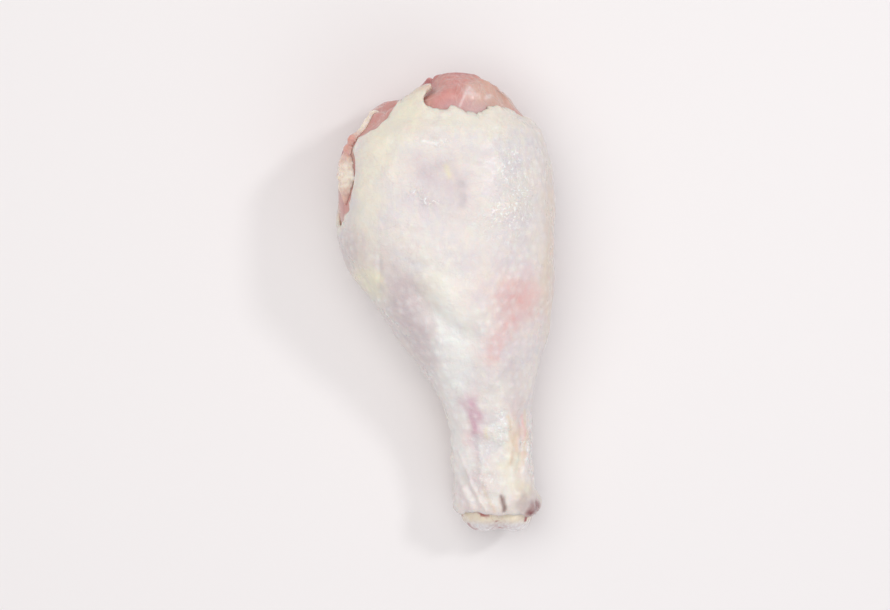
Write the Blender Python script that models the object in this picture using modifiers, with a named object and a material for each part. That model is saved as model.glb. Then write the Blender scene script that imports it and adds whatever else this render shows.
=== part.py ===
"""A raw chicken drumstick, lying on its side as it lies in a tray.

Frame, in metres: +Z up, +Y along the leg from the ankle to the knee, +X across it.
The origin is the middle of the bounding box at floor level.
The drumstick rests on a flat spot under its thick end; the ankle hangs just clear.

Four solids: the meat, the skin wrapped round it, the bone that runs through it,
and the strip of fat that lies where the skin was cut.
"""

import math

import bmesh
import bpy
import numpy as np
from mathutils import Matrix

# Driving dimensions.
LENGTH = 0.120  # knee end to ankle end
WIDTH = 0.057  # across the thick end
HEIGHT = 0.042  # of the thick end as it lies
SKIN_THICKNESS = 0.0011
CLEARANCE = 0.0003  # between pieces that touch

# The leg's outline at stations from the knee to the ankle, seen from above and from the side:
# place along the leg as a share of LENGTH, left and right edges as shares of WIDTH from the
# middle, lowest and highest points as shares of HEIGHT. A low below 0 is pressed flat.
STATIONS = (
    (-0.007, 0.020, 0.020, 0.47, 0.47),
    (0.004, -0.068, 0.108, 0.34, 0.62),
    (0.030, -0.175, 0.220, 0.19, 0.78),
    (0.062, -0.350, 0.322, 0.09, 0.88),
    (0.113, -0.404, 0.425, 0.02, 0.94),
    (0.160, -0.480, 0.461, -0.02, 0.975),
    (0.240, -0.496, 0.487, -0.035, 1.00),
    (0.325, -0.495, 0.500, -0.035, 1.00),
    (0.410, -0.460, 0.497, -0.03, 0.975),
    (0.490, -0.340, 0.489, -0.015, 0.92),
    (0.565, -0.219, 0.464, 0.01, 0.845),
    (0.635, -0.118, 0.424, 0.04, 0.75),
    (0.700, -0.030, 0.402, 0.07, 0.665),
    (0.765, 0.024, 0.392, 0.08, 0.60),
    (0.830, 0.034, 0.396, 0.06, 0.56),
    (0.890, 0.042, 0.410, 0.03, 0.555),
    (0.935, 0.034, 0.436, 0.012, 0.545),
    (0.965, 0.056, 0.420, 0.022, 0.515),
    (0.990, 0.120, 0.355, 0.11, 0.42),
    (1.002, 0.235, 0.235, 0.265, 0.265),
)
ROUNDNESS = 2.25  # exponent of a section's superellipse, 2 being an ellipse
SAG = 0.07  # how much wider a section is below its middle than above

# Relief on the leg: place along it as a share of LENGTH, angle round it in degrees (0 is
# +X, 90 the top), length and breadth in metres, turn of the length from the leg in degrees,
# and height in metres, below 0 for a hollow.
RELIEF = (
    (0.046, 165, 0.0036, 0.0095, 0, -0.0030),  # cleft between two heads of the muscle
    (0.525, 108, 0.0115, 0.0042, 32, -0.0017),  # hollow between calf and shin
    (0.600, 88, 0.0200, 0.0048, 18, 0.0010),  # shin ridge beside it
    (0.300, 140, 0.0180, 0.0045, 0, 0.0008),  # fold of the left flank
    (0.490, 48, 0.0100, 0.0062, 0, -0.0009),  # hollow where the flesh shows pink
    (0.250, 60, 0.0150, 0.0110, 0, 0.0007),  # swell of the right of the dome
    (0.790, 118, 0.0070, 0.0024, 10, -0.0007),  # groove down the shank
    (0.840, 35, 0.0100, 0.0018, 0, 0.0006),  # fold at the shank's right edge
    (0.905, 62, 0.0035, 0.0032, 0, 0.0007),  # lump on the ankle
    (0.600, 270, 0.0180, 0.0060, 0, -0.0012),  # hollow under the calf
    (0.450, 225, 0.0150, 0.0060, 0, 0.0008),  # calf's lower swell
)

# Heads of the muscles at the knee: where the grooves between them lie, in degrees.
GROOVES = (18, 121, 172, 236, 305)
GROOVE_DEPTH = 0.0020
GROOVE_BREADTH = 10.0  # degrees
GROOVE_REACH = 0.16  # share of LENGTH over which they fade out

# The skin's cut edge at the knee: angle in degrees, place along the leg.
KNEE_EDGE = (
    (5, 0.094),
    (19, 0.081),
    (38, 0.076),
    (55, 0.081),
    (67, 0.094),
    (77, 0.094),
    (84, 0.081),
    (91, 0.087),
    (98, 0.084),
    (105, 0.062),
    (110, 0.040),
    (115, 0.034),
    (121, 0.042),
    (126, 0.055),
    (131, 0.088),
    (136, 0.130),
    (141, 0.160),
    (144, 0.210),
    (149, 0.270),
    (156, 0.305),
    (166, 0.328),
    (180, 0.335),
    (194, 0.300),
    (208, 0.215),
    (224, 0.140),
    (245, 0.108),
    (280, 0.094),
    (320, 0.098),
    (345, 0.104),
)
ANKLE_EDGE = 0.956  # mean place of the skin's edge at the ankle
ANKLE_EDGE_WAVES = 0.006  # how far that edge wanders, as a share of LENGTH

EXPOSED_DROP = 0.0014  # bare meat on the left flank lies this far below the skin's surface
EDGE_MARGIN = 0.0018  # gap along the surface between the bare meat and the skin's edge

# The bone: place along the leg, half breadth and half height in metres.
BONE_STATIONS = (
    (0.026, 0.0064, 0.0054),
    (0.036, 0.0080, 0.0070),
    (0.075, 0.0081, 0.0071),
    (0.135, 0.0062, 0.0055),
    (0.230, 0.0043, 0.0040),
    (0.430, 0.0036, 0.0034),
    (0.650, 0.0036, 0.0034),
    (0.790, 0.0042, 0.0040),
    (0.862, 0.0058, 0.0056),
    (0.903, 0.0086, 0.0084),
    (0.935, 0.0096, 0.0094),
    (0.965, 0.0089, 0.0087),
    (0.988, 0.0074, 0.0070),
    (1.000, 0.0050, 0.0046),
)
BONE_KNEE = (0.0030, 0.46)  # middle at the knee: metres from the centre line, share of HEIGHT
BONE_ANKLE = (0.0142, 0.270)  # middle at the ankle, likewise
CONDYLE_GROOVE = 0.0016  # depth of the notch between the ankle's two knobs

# The fat: angle and place along the leg at both ends, half breadth and thickness.
FAT_START = (166.0, 0.090)
FAT_END = (161.0, 0.292)
FAT_HALF_BREADTH = 0.0048
FAT_THICKNESS = 0.0022

# Mesh divisions.
AROUND = 44
CROWDING = 0.45  # of the divisions round the leg towards its top left, where the edge is ragged
CROWDED_SIDE = 125  # degrees
KNEE_ROWS = 11  # of the bare meat
SKIN_ROWS = 27
MEAT_ROWS_UNDER_SKIN = 23
BONE_AROUND = 20
BONE_ROWS = 26
FAT_ROWS = 20
FAT_COLUMNS = 6

# Colours, red, green, blue, as linear values.
SKIN_COLOUR = (0.78, 0.70, 0.67)
MEAT_COLOUR = (0.64, 0.40, 0.38)
BONE_COLOUR = (0.80, 0.78, 0.78)
FAT_COLOUR = (0.83, 0.74, 0.60)

SMALL_STEP = 1e-3  # for finite differences on the surface's two parameters


def clear_scene():
    for item in list(bpy.data.objects):
        bpy.data.objects.remove(item)


def material(name, colour, roughness):
    made = bpy.data.materials.new(name)
    made.use_nodes = True
    shader = made.node_tree.nodes["Principled BSDF"]
    shader.inputs["Base Color"].default_value = (*colour, 1.0)
    shader.inputs["Roughness"].default_value = roughness
    shader.inputs["Metallic"].default_value = 0.0
    return made


def smooth_table(table, odd):
    """Returns a function of a row number that runs smoothly through the table's rows.

    A Catmull-Rom curve through each column. Beyond the first and last rows, where the leg
    closes, a column marked odd changes sign and the others are mirrored.
    """
    rows = np.array(table, float)
    sign = np.where(odd, -1.0, 1.0)
    padded = np.vstack([rows[1] * sign, rows, rows[-2] * sign, rows[-3] * sign])

    def at(place):
        place = np.asarray(place, float)
        first = np.clip(np.floor(place).astype(int), 0, len(rows) - 2)
        f = (place - first)[..., None]
        a, b, c, d = (padded[first + step] for step in range(4))
        return 0.5 * (
            2 * b + (c - a) * f + (2 * a - 5 * b + 4 * c - d) * f**2 + (3 * b - a - 3 * c + d) * f**3
        )

    return at


def leg_table():
    """The stations as place, middle across, half width, middle height, half height, in metres."""
    return [
        (
            along,
            (left + right) / 2 * WIDTH,
            (right - left) / 2 * WIDTH,
            (low + high) / 2 * HEIGHT,
            (high - low) / 2 * HEIGHT,
        )
        for along, left, right, low, high in STATIONS
    ]


leg_at = smooth_table(leg_table(), odd=(False, False, True, False, True))
LAST_STATION = len(STATIONS) - 1


def station_of(along):
    """The row number whose place along the leg is along."""
    fine = np.linspace(0, LAST_STATION, 2000)
    return np.interp(along, leg_at(fine)[:, 0], fine)


def around_loop(points, angle):
    """Runs smoothly through (degrees, value) points round the whole leg."""
    known = np.array(sorted(points), float)
    known = np.vstack([known[-2:] - (360, 0), known, known[:2] + (360, 0)])
    place = np.interp(angle % 360, known[:, 0], np.arange(len(known)))
    return smooth_table(known, odd=(False, False))(place)[..., 1]


def signed_power(value, power):
    return np.sign(value) * np.abs(value) ** power


def angle_gap(angle, other):
    """The difference of two angles in degrees, between -180 and 180."""
    return (angle - other + 180) % 360 - 180


def relief_at(along, angle, radius):
    """Sum of the swells and hollows, each a turned bell shape on the unrolled surface."""
    height = np.zeros_like(along)
    for place, where, length, breadth, turn, rise in RELIEF:
        up = (place - along) * LENGTH
        across = np.radians(angle_gap(where, angle)) * radius
        c, s = math.cos(math.radians(turn)), math.sin(math.radians(turn))
        lengthwise = up * c - across * s
        crosswise = up * s + across * c
        height += rise * np.exp(-((lengthwise / length) ** 2) - (crosswise / breadth) ** 2)
    fade = np.clip(1 - along / GROOVE_REACH, 0, 1) * np.clip(radius / (0.3 * WIDTH), 0, 1)
    for where in GROOVES:
        height -= GROOVE_DEPTH * fade * np.exp(-((angle_gap(where, angle) / GROOVE_BREADTH) ** 2))
    return height


def leg_point(station, angle):
    """The smooth leg's surface, without relief: superellipse sections pressed flat at the floor."""
    along, middle_x, half_x, middle_z, half_z = np.moveaxis(leg_at(station), -1, 0)
    across = signed_power(np.cos(np.radians(angle)), 2 / ROUNDNESS)
    upward = signed_power(np.sin(np.radians(angle)), 2 / ROUNDNESS)
    x = middle_x + half_x * across * (1 - SAG * upward)
    y = (0.5 - along) * LENGTH
    z = middle_z + half_z * upward
    return np.stack([x, y, z], axis=-1)


def outward(surface, station, angle):
    """Unit normals of a surface given as a function of station and angle."""
    station = np.clip(station, 0.05, LAST_STATION - 0.05)
    round_it = surface(station, angle + 1) - surface(station, angle - 1)
    down_it = surface(station + SMALL_STEP, angle) - surface(station - SMALL_STEP, angle)
    normal = np.cross(round_it, down_it)
    return normal / np.linalg.norm(normal, axis=-1, keepdims=True)


def leg_surface(station, angle):
    """The leg's outer surface with its relief, flat where it meets the floor."""
    point = leg_point(station, angle)
    along, _, half_x, _, half_z = np.moveaxis(leg_at(station), -1, 0)
    radius = (np.abs(half_x) + np.abs(half_z)) / 2
    point = point + outward(leg_point, station, angle) * relief_at(along, angle, radius)[..., None]
    point[..., 2] = np.maximum(point[..., 2], 0)
    return point


def inset(station, angle, depth):
    """The outer surface moved inwards by depth."""
    return leg_surface(station, angle) - outward(leg_surface, station, angle) * depth[..., None]


def knee_edge(angle):
    return around_loop(KNEE_EDGE, angle)


def ankle_edge(angle):
    turn = np.radians(angle)
    return ANKLE_EDGE + ANKLE_EDGE_WAVES * (0.6 * np.sin(2 * turn + 0.6) + 0.4 * np.sin(5 * turn))


def ring(count):
    """Even angles round a piece, from 0 up to 360 degrees."""
    return np.arange(count) * 360 / count


def leg_ring():
    """Angles round the leg, closer together on its crowded side."""
    even = ring(AROUND)
    return even - CROWDING * np.degrees(np.sin(np.radians(even - CROWDED_SIDE)))


def loft_faces(points):
    """Outward triangles between the rings of a loft, each four-sided cell split along its shorter
    diagonal, so that surfaces one below the other are split alike."""
    rows, columns = points.shape[:2]
    beside = np.roll(points, -1, axis=1)
    falling = np.linalg.norm(points[:-1] - beside[1:], axis=-1)
    rising = np.linalg.norm(beside[:-1] - points[1:], axis=-1)
    faces = []
    for row in range(rows - 1):
        for column in range(columns):
            after = (column + 1) % columns
            a, b = row * columns + column, row * columns + after
            c, d = a + columns, b + columns
            if falling[row, column] < rising[row, column]:
                faces += [(a, c, d), (a, d, b)]
            else:
                faces += [(a, c, b), (b, c, d)]
    return faces


def add_object(name, mesh, collection, surface):
    made = bpy.data.objects.new(name, mesh)
    mesh.materials.append(surface)
    mesh.shade_smooth()
    mesh.set_sharp_from_angle(angle=math.radians(50))
    collection.objects.link(made)
    return made


def loft_mesh(name, points, cap_start, cap_end):
    """A mesh from rings of points, its ends closed by one flat face each where asked."""
    rows, columns = points.shape[:2]
    faces = loft_faces(points)
    if cap_start:
        faces.append(tuple(range(columns)))
    if cap_end:
        faces.append(tuple(reversed(range((rows - 1) * columns, rows * columns))))
    mesh = bpy.data.meshes.new(name)
    mesh.from_pydata(points.reshape(-1, 3).tolist(), [], faces)
    shape = bmesh.new()
    shape.from_mesh(mesh)
    bmesh.ops.remove_doubles(shape, verts=shape.verts, dist=1e-6)
    bmesh.ops.recalc_face_normals(shape, faces=shape.faces)
    shape.to_mesh(mesh)
    shape.free()
    return mesh


def smooth_step(value):
    value = np.clip(value, 0, 1)
    return value * value * (3 - 2 * value)


def skin_stations(angle):
    """Row numbers of the skin's rings: its edge at the knee, then straighter rings to the ankle's."""
    share = np.linspace(0, 1, SKIN_ROWS)[:, None]
    first, last = station_of(knee_edge(angle)), station_of(ankle_edge(angle))
    even = first.mean() + (last - first.mean()) * share
    return even + (first - first.mean()) * (1 - share) ** 2


def make_meat(collection, surface):
    """The muscle: bare from the knee's pole to the skin's edge, then under the skin.

    It is closed at the pole and by a flat end where the ankle's joint starts.
    """
    angle = leg_ring()
    edge = knee_edge(angle)
    ahead = station_of(edge - EDGE_MARGIN / LENGTH) * np.linspace(0, 1, KNEE_ROWS)[:, None]
    under = skin_stations(angle)[:MEAT_ROWS_UNDER_SKIN]
    station = np.concatenate([ahead, under])
    on_flank = smooth_step((leg_at(station)[..., 0] - 0.02) / 0.06)
    depth = on_flank * EXPOSED_DROP
    depth[KNEE_ROWS - 1:] = SKIN_THICKNESS + CLEARANCE
    points = inset(station, np.broadcast_to(angle, station.shape), depth)
    points[0] = points[0].mean(axis=0)
    return add_object("meat", loft_mesh("meat", points, False, True), collection, surface)


def make_skin(collection, surface):
    """A sleeve between its two cut edges: rings down its outside, back up its inside, and round."""
    station = skin_stations(leg_ring())
    angle = np.broadcast_to(leg_ring(), station.shape)
    outside = leg_surface(station, angle)
    inside = inset(station, angle, np.full(station.shape, SKIN_THICKNESS))
    points = np.concatenate([outside, inside[::-1], outside[:1]])
    return add_object("skin", loft_mesh("skin", points, False, False), collection, surface)


def bone_middle(along):
    """The bone's centre line: straight from the knee to the ankle."""
    first, last = BONE_STATIONS[0][0], 1.0
    share = (along - first) / (last - first)
    x = BONE_KNEE[0] + (BONE_ANKLE[0] - BONE_KNEE[0]) * share
    z = (BONE_KNEE[1] + (BONE_ANKLE[1] - BONE_KNEE[1]) * share) * HEIGHT
    return np.stack([x, (0.5 - along) * LENGTH, z], axis=-1)


def bone_points(grow):
    """Rings of the bone, grown outwards by grow: a round knee head, a shaft, and the ankle's knobs."""
    bone_at = smooth_table(BONE_STATIONS, odd=(False, False, False))
    place, angle = np.meshgrid(
        np.linspace(0, len(BONE_STATIONS) - 1, BONE_ROWS), ring(BONE_AROUND), indexing="ij"
    )
    along, half_x, half_z = np.moveaxis(bone_at(place), -1, 0)
    across, upward = np.cos(np.radians(angle)), np.sin(np.radians(angle))
    near_ankle = smooth_step((along - 0.90) / 0.06)
    notch = CONDYLE_GROOVE * near_ankle * np.exp(-((across / 0.35) ** 2))
    offset = np.stack(
        [
            across * (half_x + grow),
            np.zeros_like(along),
            upward * (half_z + grow - notch),
        ],
        axis=-1,
    )
    return bone_middle(along) + offset


def make_bone(collection, surface):
    mesh = loft_mesh("bone", bone_points(0), True, True)
    bone = add_object("bone", mesh, collection, surface)
    edge = bone.modifiers.new("rounded ends", "BEVEL")
    edge.width = 0.0016
    edge.segments = 2
    edge.limit_method = "ANGLE"
    edge.angle_limit = math.radians(55)
    return bone


def cut_bone_channel(meat, cutters):
    """Cuts the meat where the bone runs, open at both ends."""
    points = bone_points(CLEARANCE)
    start, end = points[:1].copy(), points[-1:].copy()
    start[..., 1] += 0.02
    end[..., 1] -= 0.02
    mesh = loft_mesh("bone_channel", np.concatenate([start, points, end]), True, True)
    cutter = bpy.data.objects.new("bone_channel", mesh)
    cutters.objects.link(cutter)
    cutter.hide_render = True
    cutter.display_type = "WIRE"
    cut = meat.modifiers.new("bone channel", "BOOLEAN")
    cut.operation = "DIFFERENCE"
    cut.object = cutter
    return cutter


def make_fat(collection, surface):
    """A strip that lies on the bare flank: a lens-shaped section carried along a line on the surface."""
    share = np.linspace(0, 1, FAT_ROWS)[:, None]
    crosswise = np.linspace(-1, 1, FAT_COLUMNS + 1)[None, :]
    along = FAT_START[1] + (FAT_END[1] - FAT_START[1]) * share + 0 * crosswise
    middle = FAT_START[0] + (FAT_END[0] - FAT_START[0]) * share
    taper = np.sqrt(np.clip(1 - (2 * share - 1) ** 2, 0.03, 1))
    lumps = (0.55 + 0.45 * smooth_step(1.6 * share)) * (1 + 0.16 * np.sin(share * 5.2 * math.pi + 0.4))
    half_degrees = np.degrees(FAT_HALF_BREADTH / (0.42 * WIDTH)) * taper * lumps
    angle = middle + half_degrees * crosswise
    station = station_of(along)
    foot = EXPOSED_DROP - CLEARANCE + 0 * angle
    crown = FAT_THICKNESS * taper * lumps * (1 - np.abs(crosswise) ** 3)
    upper = inset(station, angle, foot - crown)
    lower = inset(station, angle, foot)
    rings = np.concatenate([upper, lower[:, -2:0:-1]], axis=1)
    return add_object("fat", loft_mesh("fat", rings, True, True), collection, surface)


def centre_on_floor(nodes, cutters):
    """Moves all pieces together so that their bounding box stands centred on the origin."""
    bpy.context.view_layer.update()
    graph = bpy.context.evaluated_depsgraph_get()
    corners = np.array([corner for node in nodes for corner in node.evaluated_get(graph).bound_box])
    low, high = corners.min(axis=0), corners.max(axis=0)
    shift = Matrix.Translation((-(low[0] + high[0]) / 2, -(low[1] + high[1]) / 2, -low[2]))
    for piece in nodes + cutters:
        piece.data.transform(shift)


def main():
    clear_scene()
    parts = bpy.data.collections.new("drumstick")
    cutters = bpy.data.collections.new("cutters")
    for collection in (parts, cutters):
        bpy.context.scene.collection.children.link(collection)
    meat = make_meat(parts, material("meat", MEAT_COLOUR, 0.4))
    skin = make_skin(parts, material("skin", SKIN_COLOUR, 0.45))
    bone = make_bone(parts, material("bone", BONE_COLOUR, 0.35))
    fat = make_fat(parts, material("fat", FAT_COLOUR, 0.4))
    channel = cut_bone_channel(meat, cutters)
    centre_on_floor([meat, skin, bone, fat], [channel])


main()
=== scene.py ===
"""A raw chicken drumstick, lying on its side on a pale floor and seen from straight above.

The leg is one surface of two parameters: how far along it a point is, from the knee to the
ankle, and at what angle round it, 0 degrees being +X and 90 the top. The skin, the muscle and
the fat are all laid at their own depth under that surface, and the bone runs through them.
Colours that lie at one place, such as a blush or a vein, are soft patches worked out for each
vertex and read by the materials.
"""

import logging
import math
from dataclasses import dataclass
from enum import Enum
from typing import Callable, NamedTuple, Sequence

import bpy
import numpy as np
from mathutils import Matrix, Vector


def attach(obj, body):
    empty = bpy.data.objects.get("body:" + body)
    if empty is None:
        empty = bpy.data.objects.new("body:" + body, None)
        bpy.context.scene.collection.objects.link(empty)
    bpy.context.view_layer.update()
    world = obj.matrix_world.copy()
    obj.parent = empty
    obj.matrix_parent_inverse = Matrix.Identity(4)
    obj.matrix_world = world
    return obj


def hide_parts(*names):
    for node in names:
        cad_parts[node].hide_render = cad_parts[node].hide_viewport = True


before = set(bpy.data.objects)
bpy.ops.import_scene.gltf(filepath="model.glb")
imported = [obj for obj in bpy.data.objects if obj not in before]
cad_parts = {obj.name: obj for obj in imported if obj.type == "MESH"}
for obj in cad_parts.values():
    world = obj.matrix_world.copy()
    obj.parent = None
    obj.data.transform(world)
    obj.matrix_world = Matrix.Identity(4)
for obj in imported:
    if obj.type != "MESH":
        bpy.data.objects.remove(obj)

Array = np.ndarray
Triple = tuple[float, float, float]
Colour = tuple[float, float, float, float]
Curve = Callable[[Array], Array]
Pair = tuple[float, float]
Piece = bpy.types.Object
Rows = tuple[tuple[float, ...], ...]
Socket = bpy.types.NodeSocket
Stains = tuple[tuple["Tone", Colour, float], ...]

LOG = logging.getLogger("drumstick")
MM = 0.001
FLOOR_GAP = 0.00002


# Small mathematics.


def linear(*display: float) -> Colour:
    """Turns display red, green and blue of 0 to 255 into linear ones, with alpha."""
    share = np.array(display) / 255
    return (*np.where(share <= 0.04045, share / 12.92, ((share + 0.055) / 1.055) ** 2.4).tolist(), 1.0)


def smooth_step(value: Array | float) -> Array:
    """Eases from 0 to 1 as value goes from 0 to 1: 3 v squared minus 2 v cubed."""
    value = np.clip(value, 0, 1)
    return value * value * (3 - 2 * value)


def bell(distance: Array, reach: float | Array) -> Array:
    """Bell shape: e to the minus square of distance over reach."""
    return np.exp(-((distance / reach) ** 2))


def angle_gap(angle: Array | float, other: Array | float) -> Array:
    """The difference of two angles in degrees, between -180 and 180."""
    return (angle - other + 180) % 360 - 180


def signed_power(value: Array, power: float) -> Array:
    """Raises the size of value to power and keeps its sign."""
    return np.sign(value) * np.abs(value) ** power


def turned(up: Array, across: Array, degrees: float) -> tuple[Array, Array]:
    """Turns coordinates: lengthwise = up cos - across sin, crosswise = up sin + across cos."""
    c, s = math.cos(math.radians(degrees)), math.sin(math.radians(degrees))
    return up * c - across * s, up * s + across * c


def smooth_table(table: Sequence[Sequence[float]], odd: Sequence[bool]) -> Curve:
    """Makes a curve that runs smoothly through the rows of a table.

    Each column is a Catmull-Rom curve over the row number. Past the first and last rows a
    column marked odd changes sign and the others are mirrored, which closes a round end.

    Args:
        table: Rows of numbers.
        odd: For each column, whether it changes sign beyond the ends.

    Returns:
        A function from row numbers to interpolated rows.
    """
    rows = np.array(table, float)
    sign = np.where(odd, -1.0, 1.0)
    padded = np.vstack([rows[1] * sign, rows, rows[-2] * sign, rows[-3] * sign])

    def at(place: Array) -> Array:
        """Reads the curve.

        Args:
            place: Row numbers, whole or between, as any array.

        Returns:
            The row at each, with its columns last.
        """
        place = np.asarray(place, float)
        first = np.clip(np.floor(place).astype(int), 0, len(rows) - 2)
        f = (place - first)[..., None]
        a, b, c, d = (padded[first + step] for step in range(4))
        return 0.5 * (
            2 * b + (c - a) * f + (2 * a - 5 * b + 4 * c - d) * f**2 + (3 * b - a - 3 * c + d) * f**3
        )

    return at


def distance_to_path(points: Array, path: Array) -> Array:
    """Distance from each point to a line of straight pieces, in two or three dimensions.

    Args:
        points: Points, with the coordinates last.
        path: The line's corners, one row each.

    Returns:
        The least distance to any piece of the line.
    """
    least = np.full(points.shape[:-1], np.inf)
    for start, end in zip(path[:-1], path[1:]):
        run = end - start
        share = np.clip((points - start) @ run / max(run @ run, 1e-18), 0, 1)
        least = np.minimum(least, np.linalg.norm(points - start - share[..., None] * run, axis=-1))
    return least


@dataclass(frozen=True)
class Ripple:
    """Soft seeded noise: a sum of sine waves of random direction, length and phase.

    value = sqrt(2 / waves) times the sum of sin(2 pi direction . point / length + phase),
    which spreads about one either way of nought.
    """

    seed: int
    shortest: float
    longest: float
    stretch: Triple = (1.0, 1.0, 1.0)
    waves: int = 40

    def at(self, points: Array) -> Array:
        """Reads the noise.

        Args:
            points: Places, with the coordinates last.

        Returns:
            The noise at each place.
        """
        chance = np.random.default_rng(self.seed)
        direction = chance.normal(size=(self.waves, 3))
        direction /= np.linalg.norm(direction, axis=1, keepdims=True)
        length = np.exp(chance.uniform(np.log(self.shortest), np.log(self.longest), self.waves))
        wave = direction * (2 * np.pi / length)[:, None] / np.array(self.stretch)
        phase = chance.uniform(0, 2 * np.pi, self.waves)
        return np.sin(points @ wave.T + phase).sum(axis=-1) * math.sqrt(2 / self.waves)


# Meshes from grids.


class End(Enum):
    """How the first and last rings of a loft are closed."""

    POLES = "each end ring is gathered to one point"
    ROUND = "the last ring joins the first, as on a tube's outside and inside"


def loft(name: str, points: Array, ends: End, masks: dict[str, Array] | None = None) -> Piece:
    """Makes an object from rings of points, with its faces pointing outwards.

    The rings follow each other from the knee to the ankle and their points go round from +X
    over the top, so the cell of points a, b beside it, and c, d on the next ring is the face
    a b d c.

    Args:
        name: The piece's name.
        points: Rings by points by three coordinates.
        ends: How the ends are closed.
        masks: Named values for each point, stored as attributes.

    Returns:
        The linked object, at the origin.
    """
    rows, columns = points.shape[:2]
    index = np.arange(rows * columns).reshape(rows, columns)
    beside = np.roll(index, -1, axis=1)
    if ends is End.ROUND:
        after, after_beside = np.roll(index, -1, axis=0), np.roll(beside, -1, axis=0)
        quads = np.stack([index, beside, after_beside, after], axis=-1).reshape(-1, 4)
        loops, sizes, places = quads.ravel(), np.full(len(quads), 4), points.reshape(-1, 3)
    else:
        quads = np.stack([index[:-1], beside[:-1], beside[1:], index[1:]], axis=-1).reshape(-1, 4)
        first, last = np.full(columns, rows * columns), np.full(columns, rows * columns + 1)
        start_fan = np.stack([first, beside[0], index[0]], axis=-1)
        end_fan = np.stack([index[-1], beside[-1], last], axis=-1)
        loops = np.concatenate([quads.ravel(), start_fan.ravel(), end_fan.ravel()])
        sizes = np.concatenate([np.full(len(quads), 4), np.full(2 * columns, 3)])
        places = np.vstack([points.reshape(-1, 3), points[0].mean(axis=0), points[-1].mean(axis=0)])
    mesh = bpy.data.meshes.new(name)
    mesh.vertices.add(len(places))
    mesh.vertices.foreach_set("co", places.astype(np.float32).ravel())
    mesh.loops.add(len(loops))
    mesh.loops.foreach_set("vertex_index", loops.astype(np.int32))
    mesh.polygons.add(len(sizes))
    mesh.polygons.foreach_set("loop_start", (np.cumsum(sizes) - sizes).astype(np.int32))
    for mask, values in (masks or {}).items():
        held = mesh.attributes.new(mask, "FLOAT", "POINT")
        flat = values.ravel()
        if ends is End.POLES:
            flat = np.concatenate([flat, [values[0].mean(), values[-1].mean()]])
        held.data.foreach_set("value", flat.astype(np.float32))
    mesh.update(calc_edges=True)
    mesh.validate()
    mesh.shade_smooth()
    piece = bpy.data.objects.new(name, mesh)
    bpy.context.scene.collection.objects.link(piece)
    return piece


# The leg's form.


@dataclass(frozen=True)
class Swell:
    """A swell or hollow: a bell on the unrolled surface, longer one way than the other."""

    along: float
    angle: float
    length: float
    breadth: float
    turn: float
    rise: float


@dataclass(frozen=True)
class Fold:
    """A raised fold, or a crease where rise is below nought, along a line seen from above."""

    path: tuple[Pair, ...]
    breadth: float
    rise: float


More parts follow.
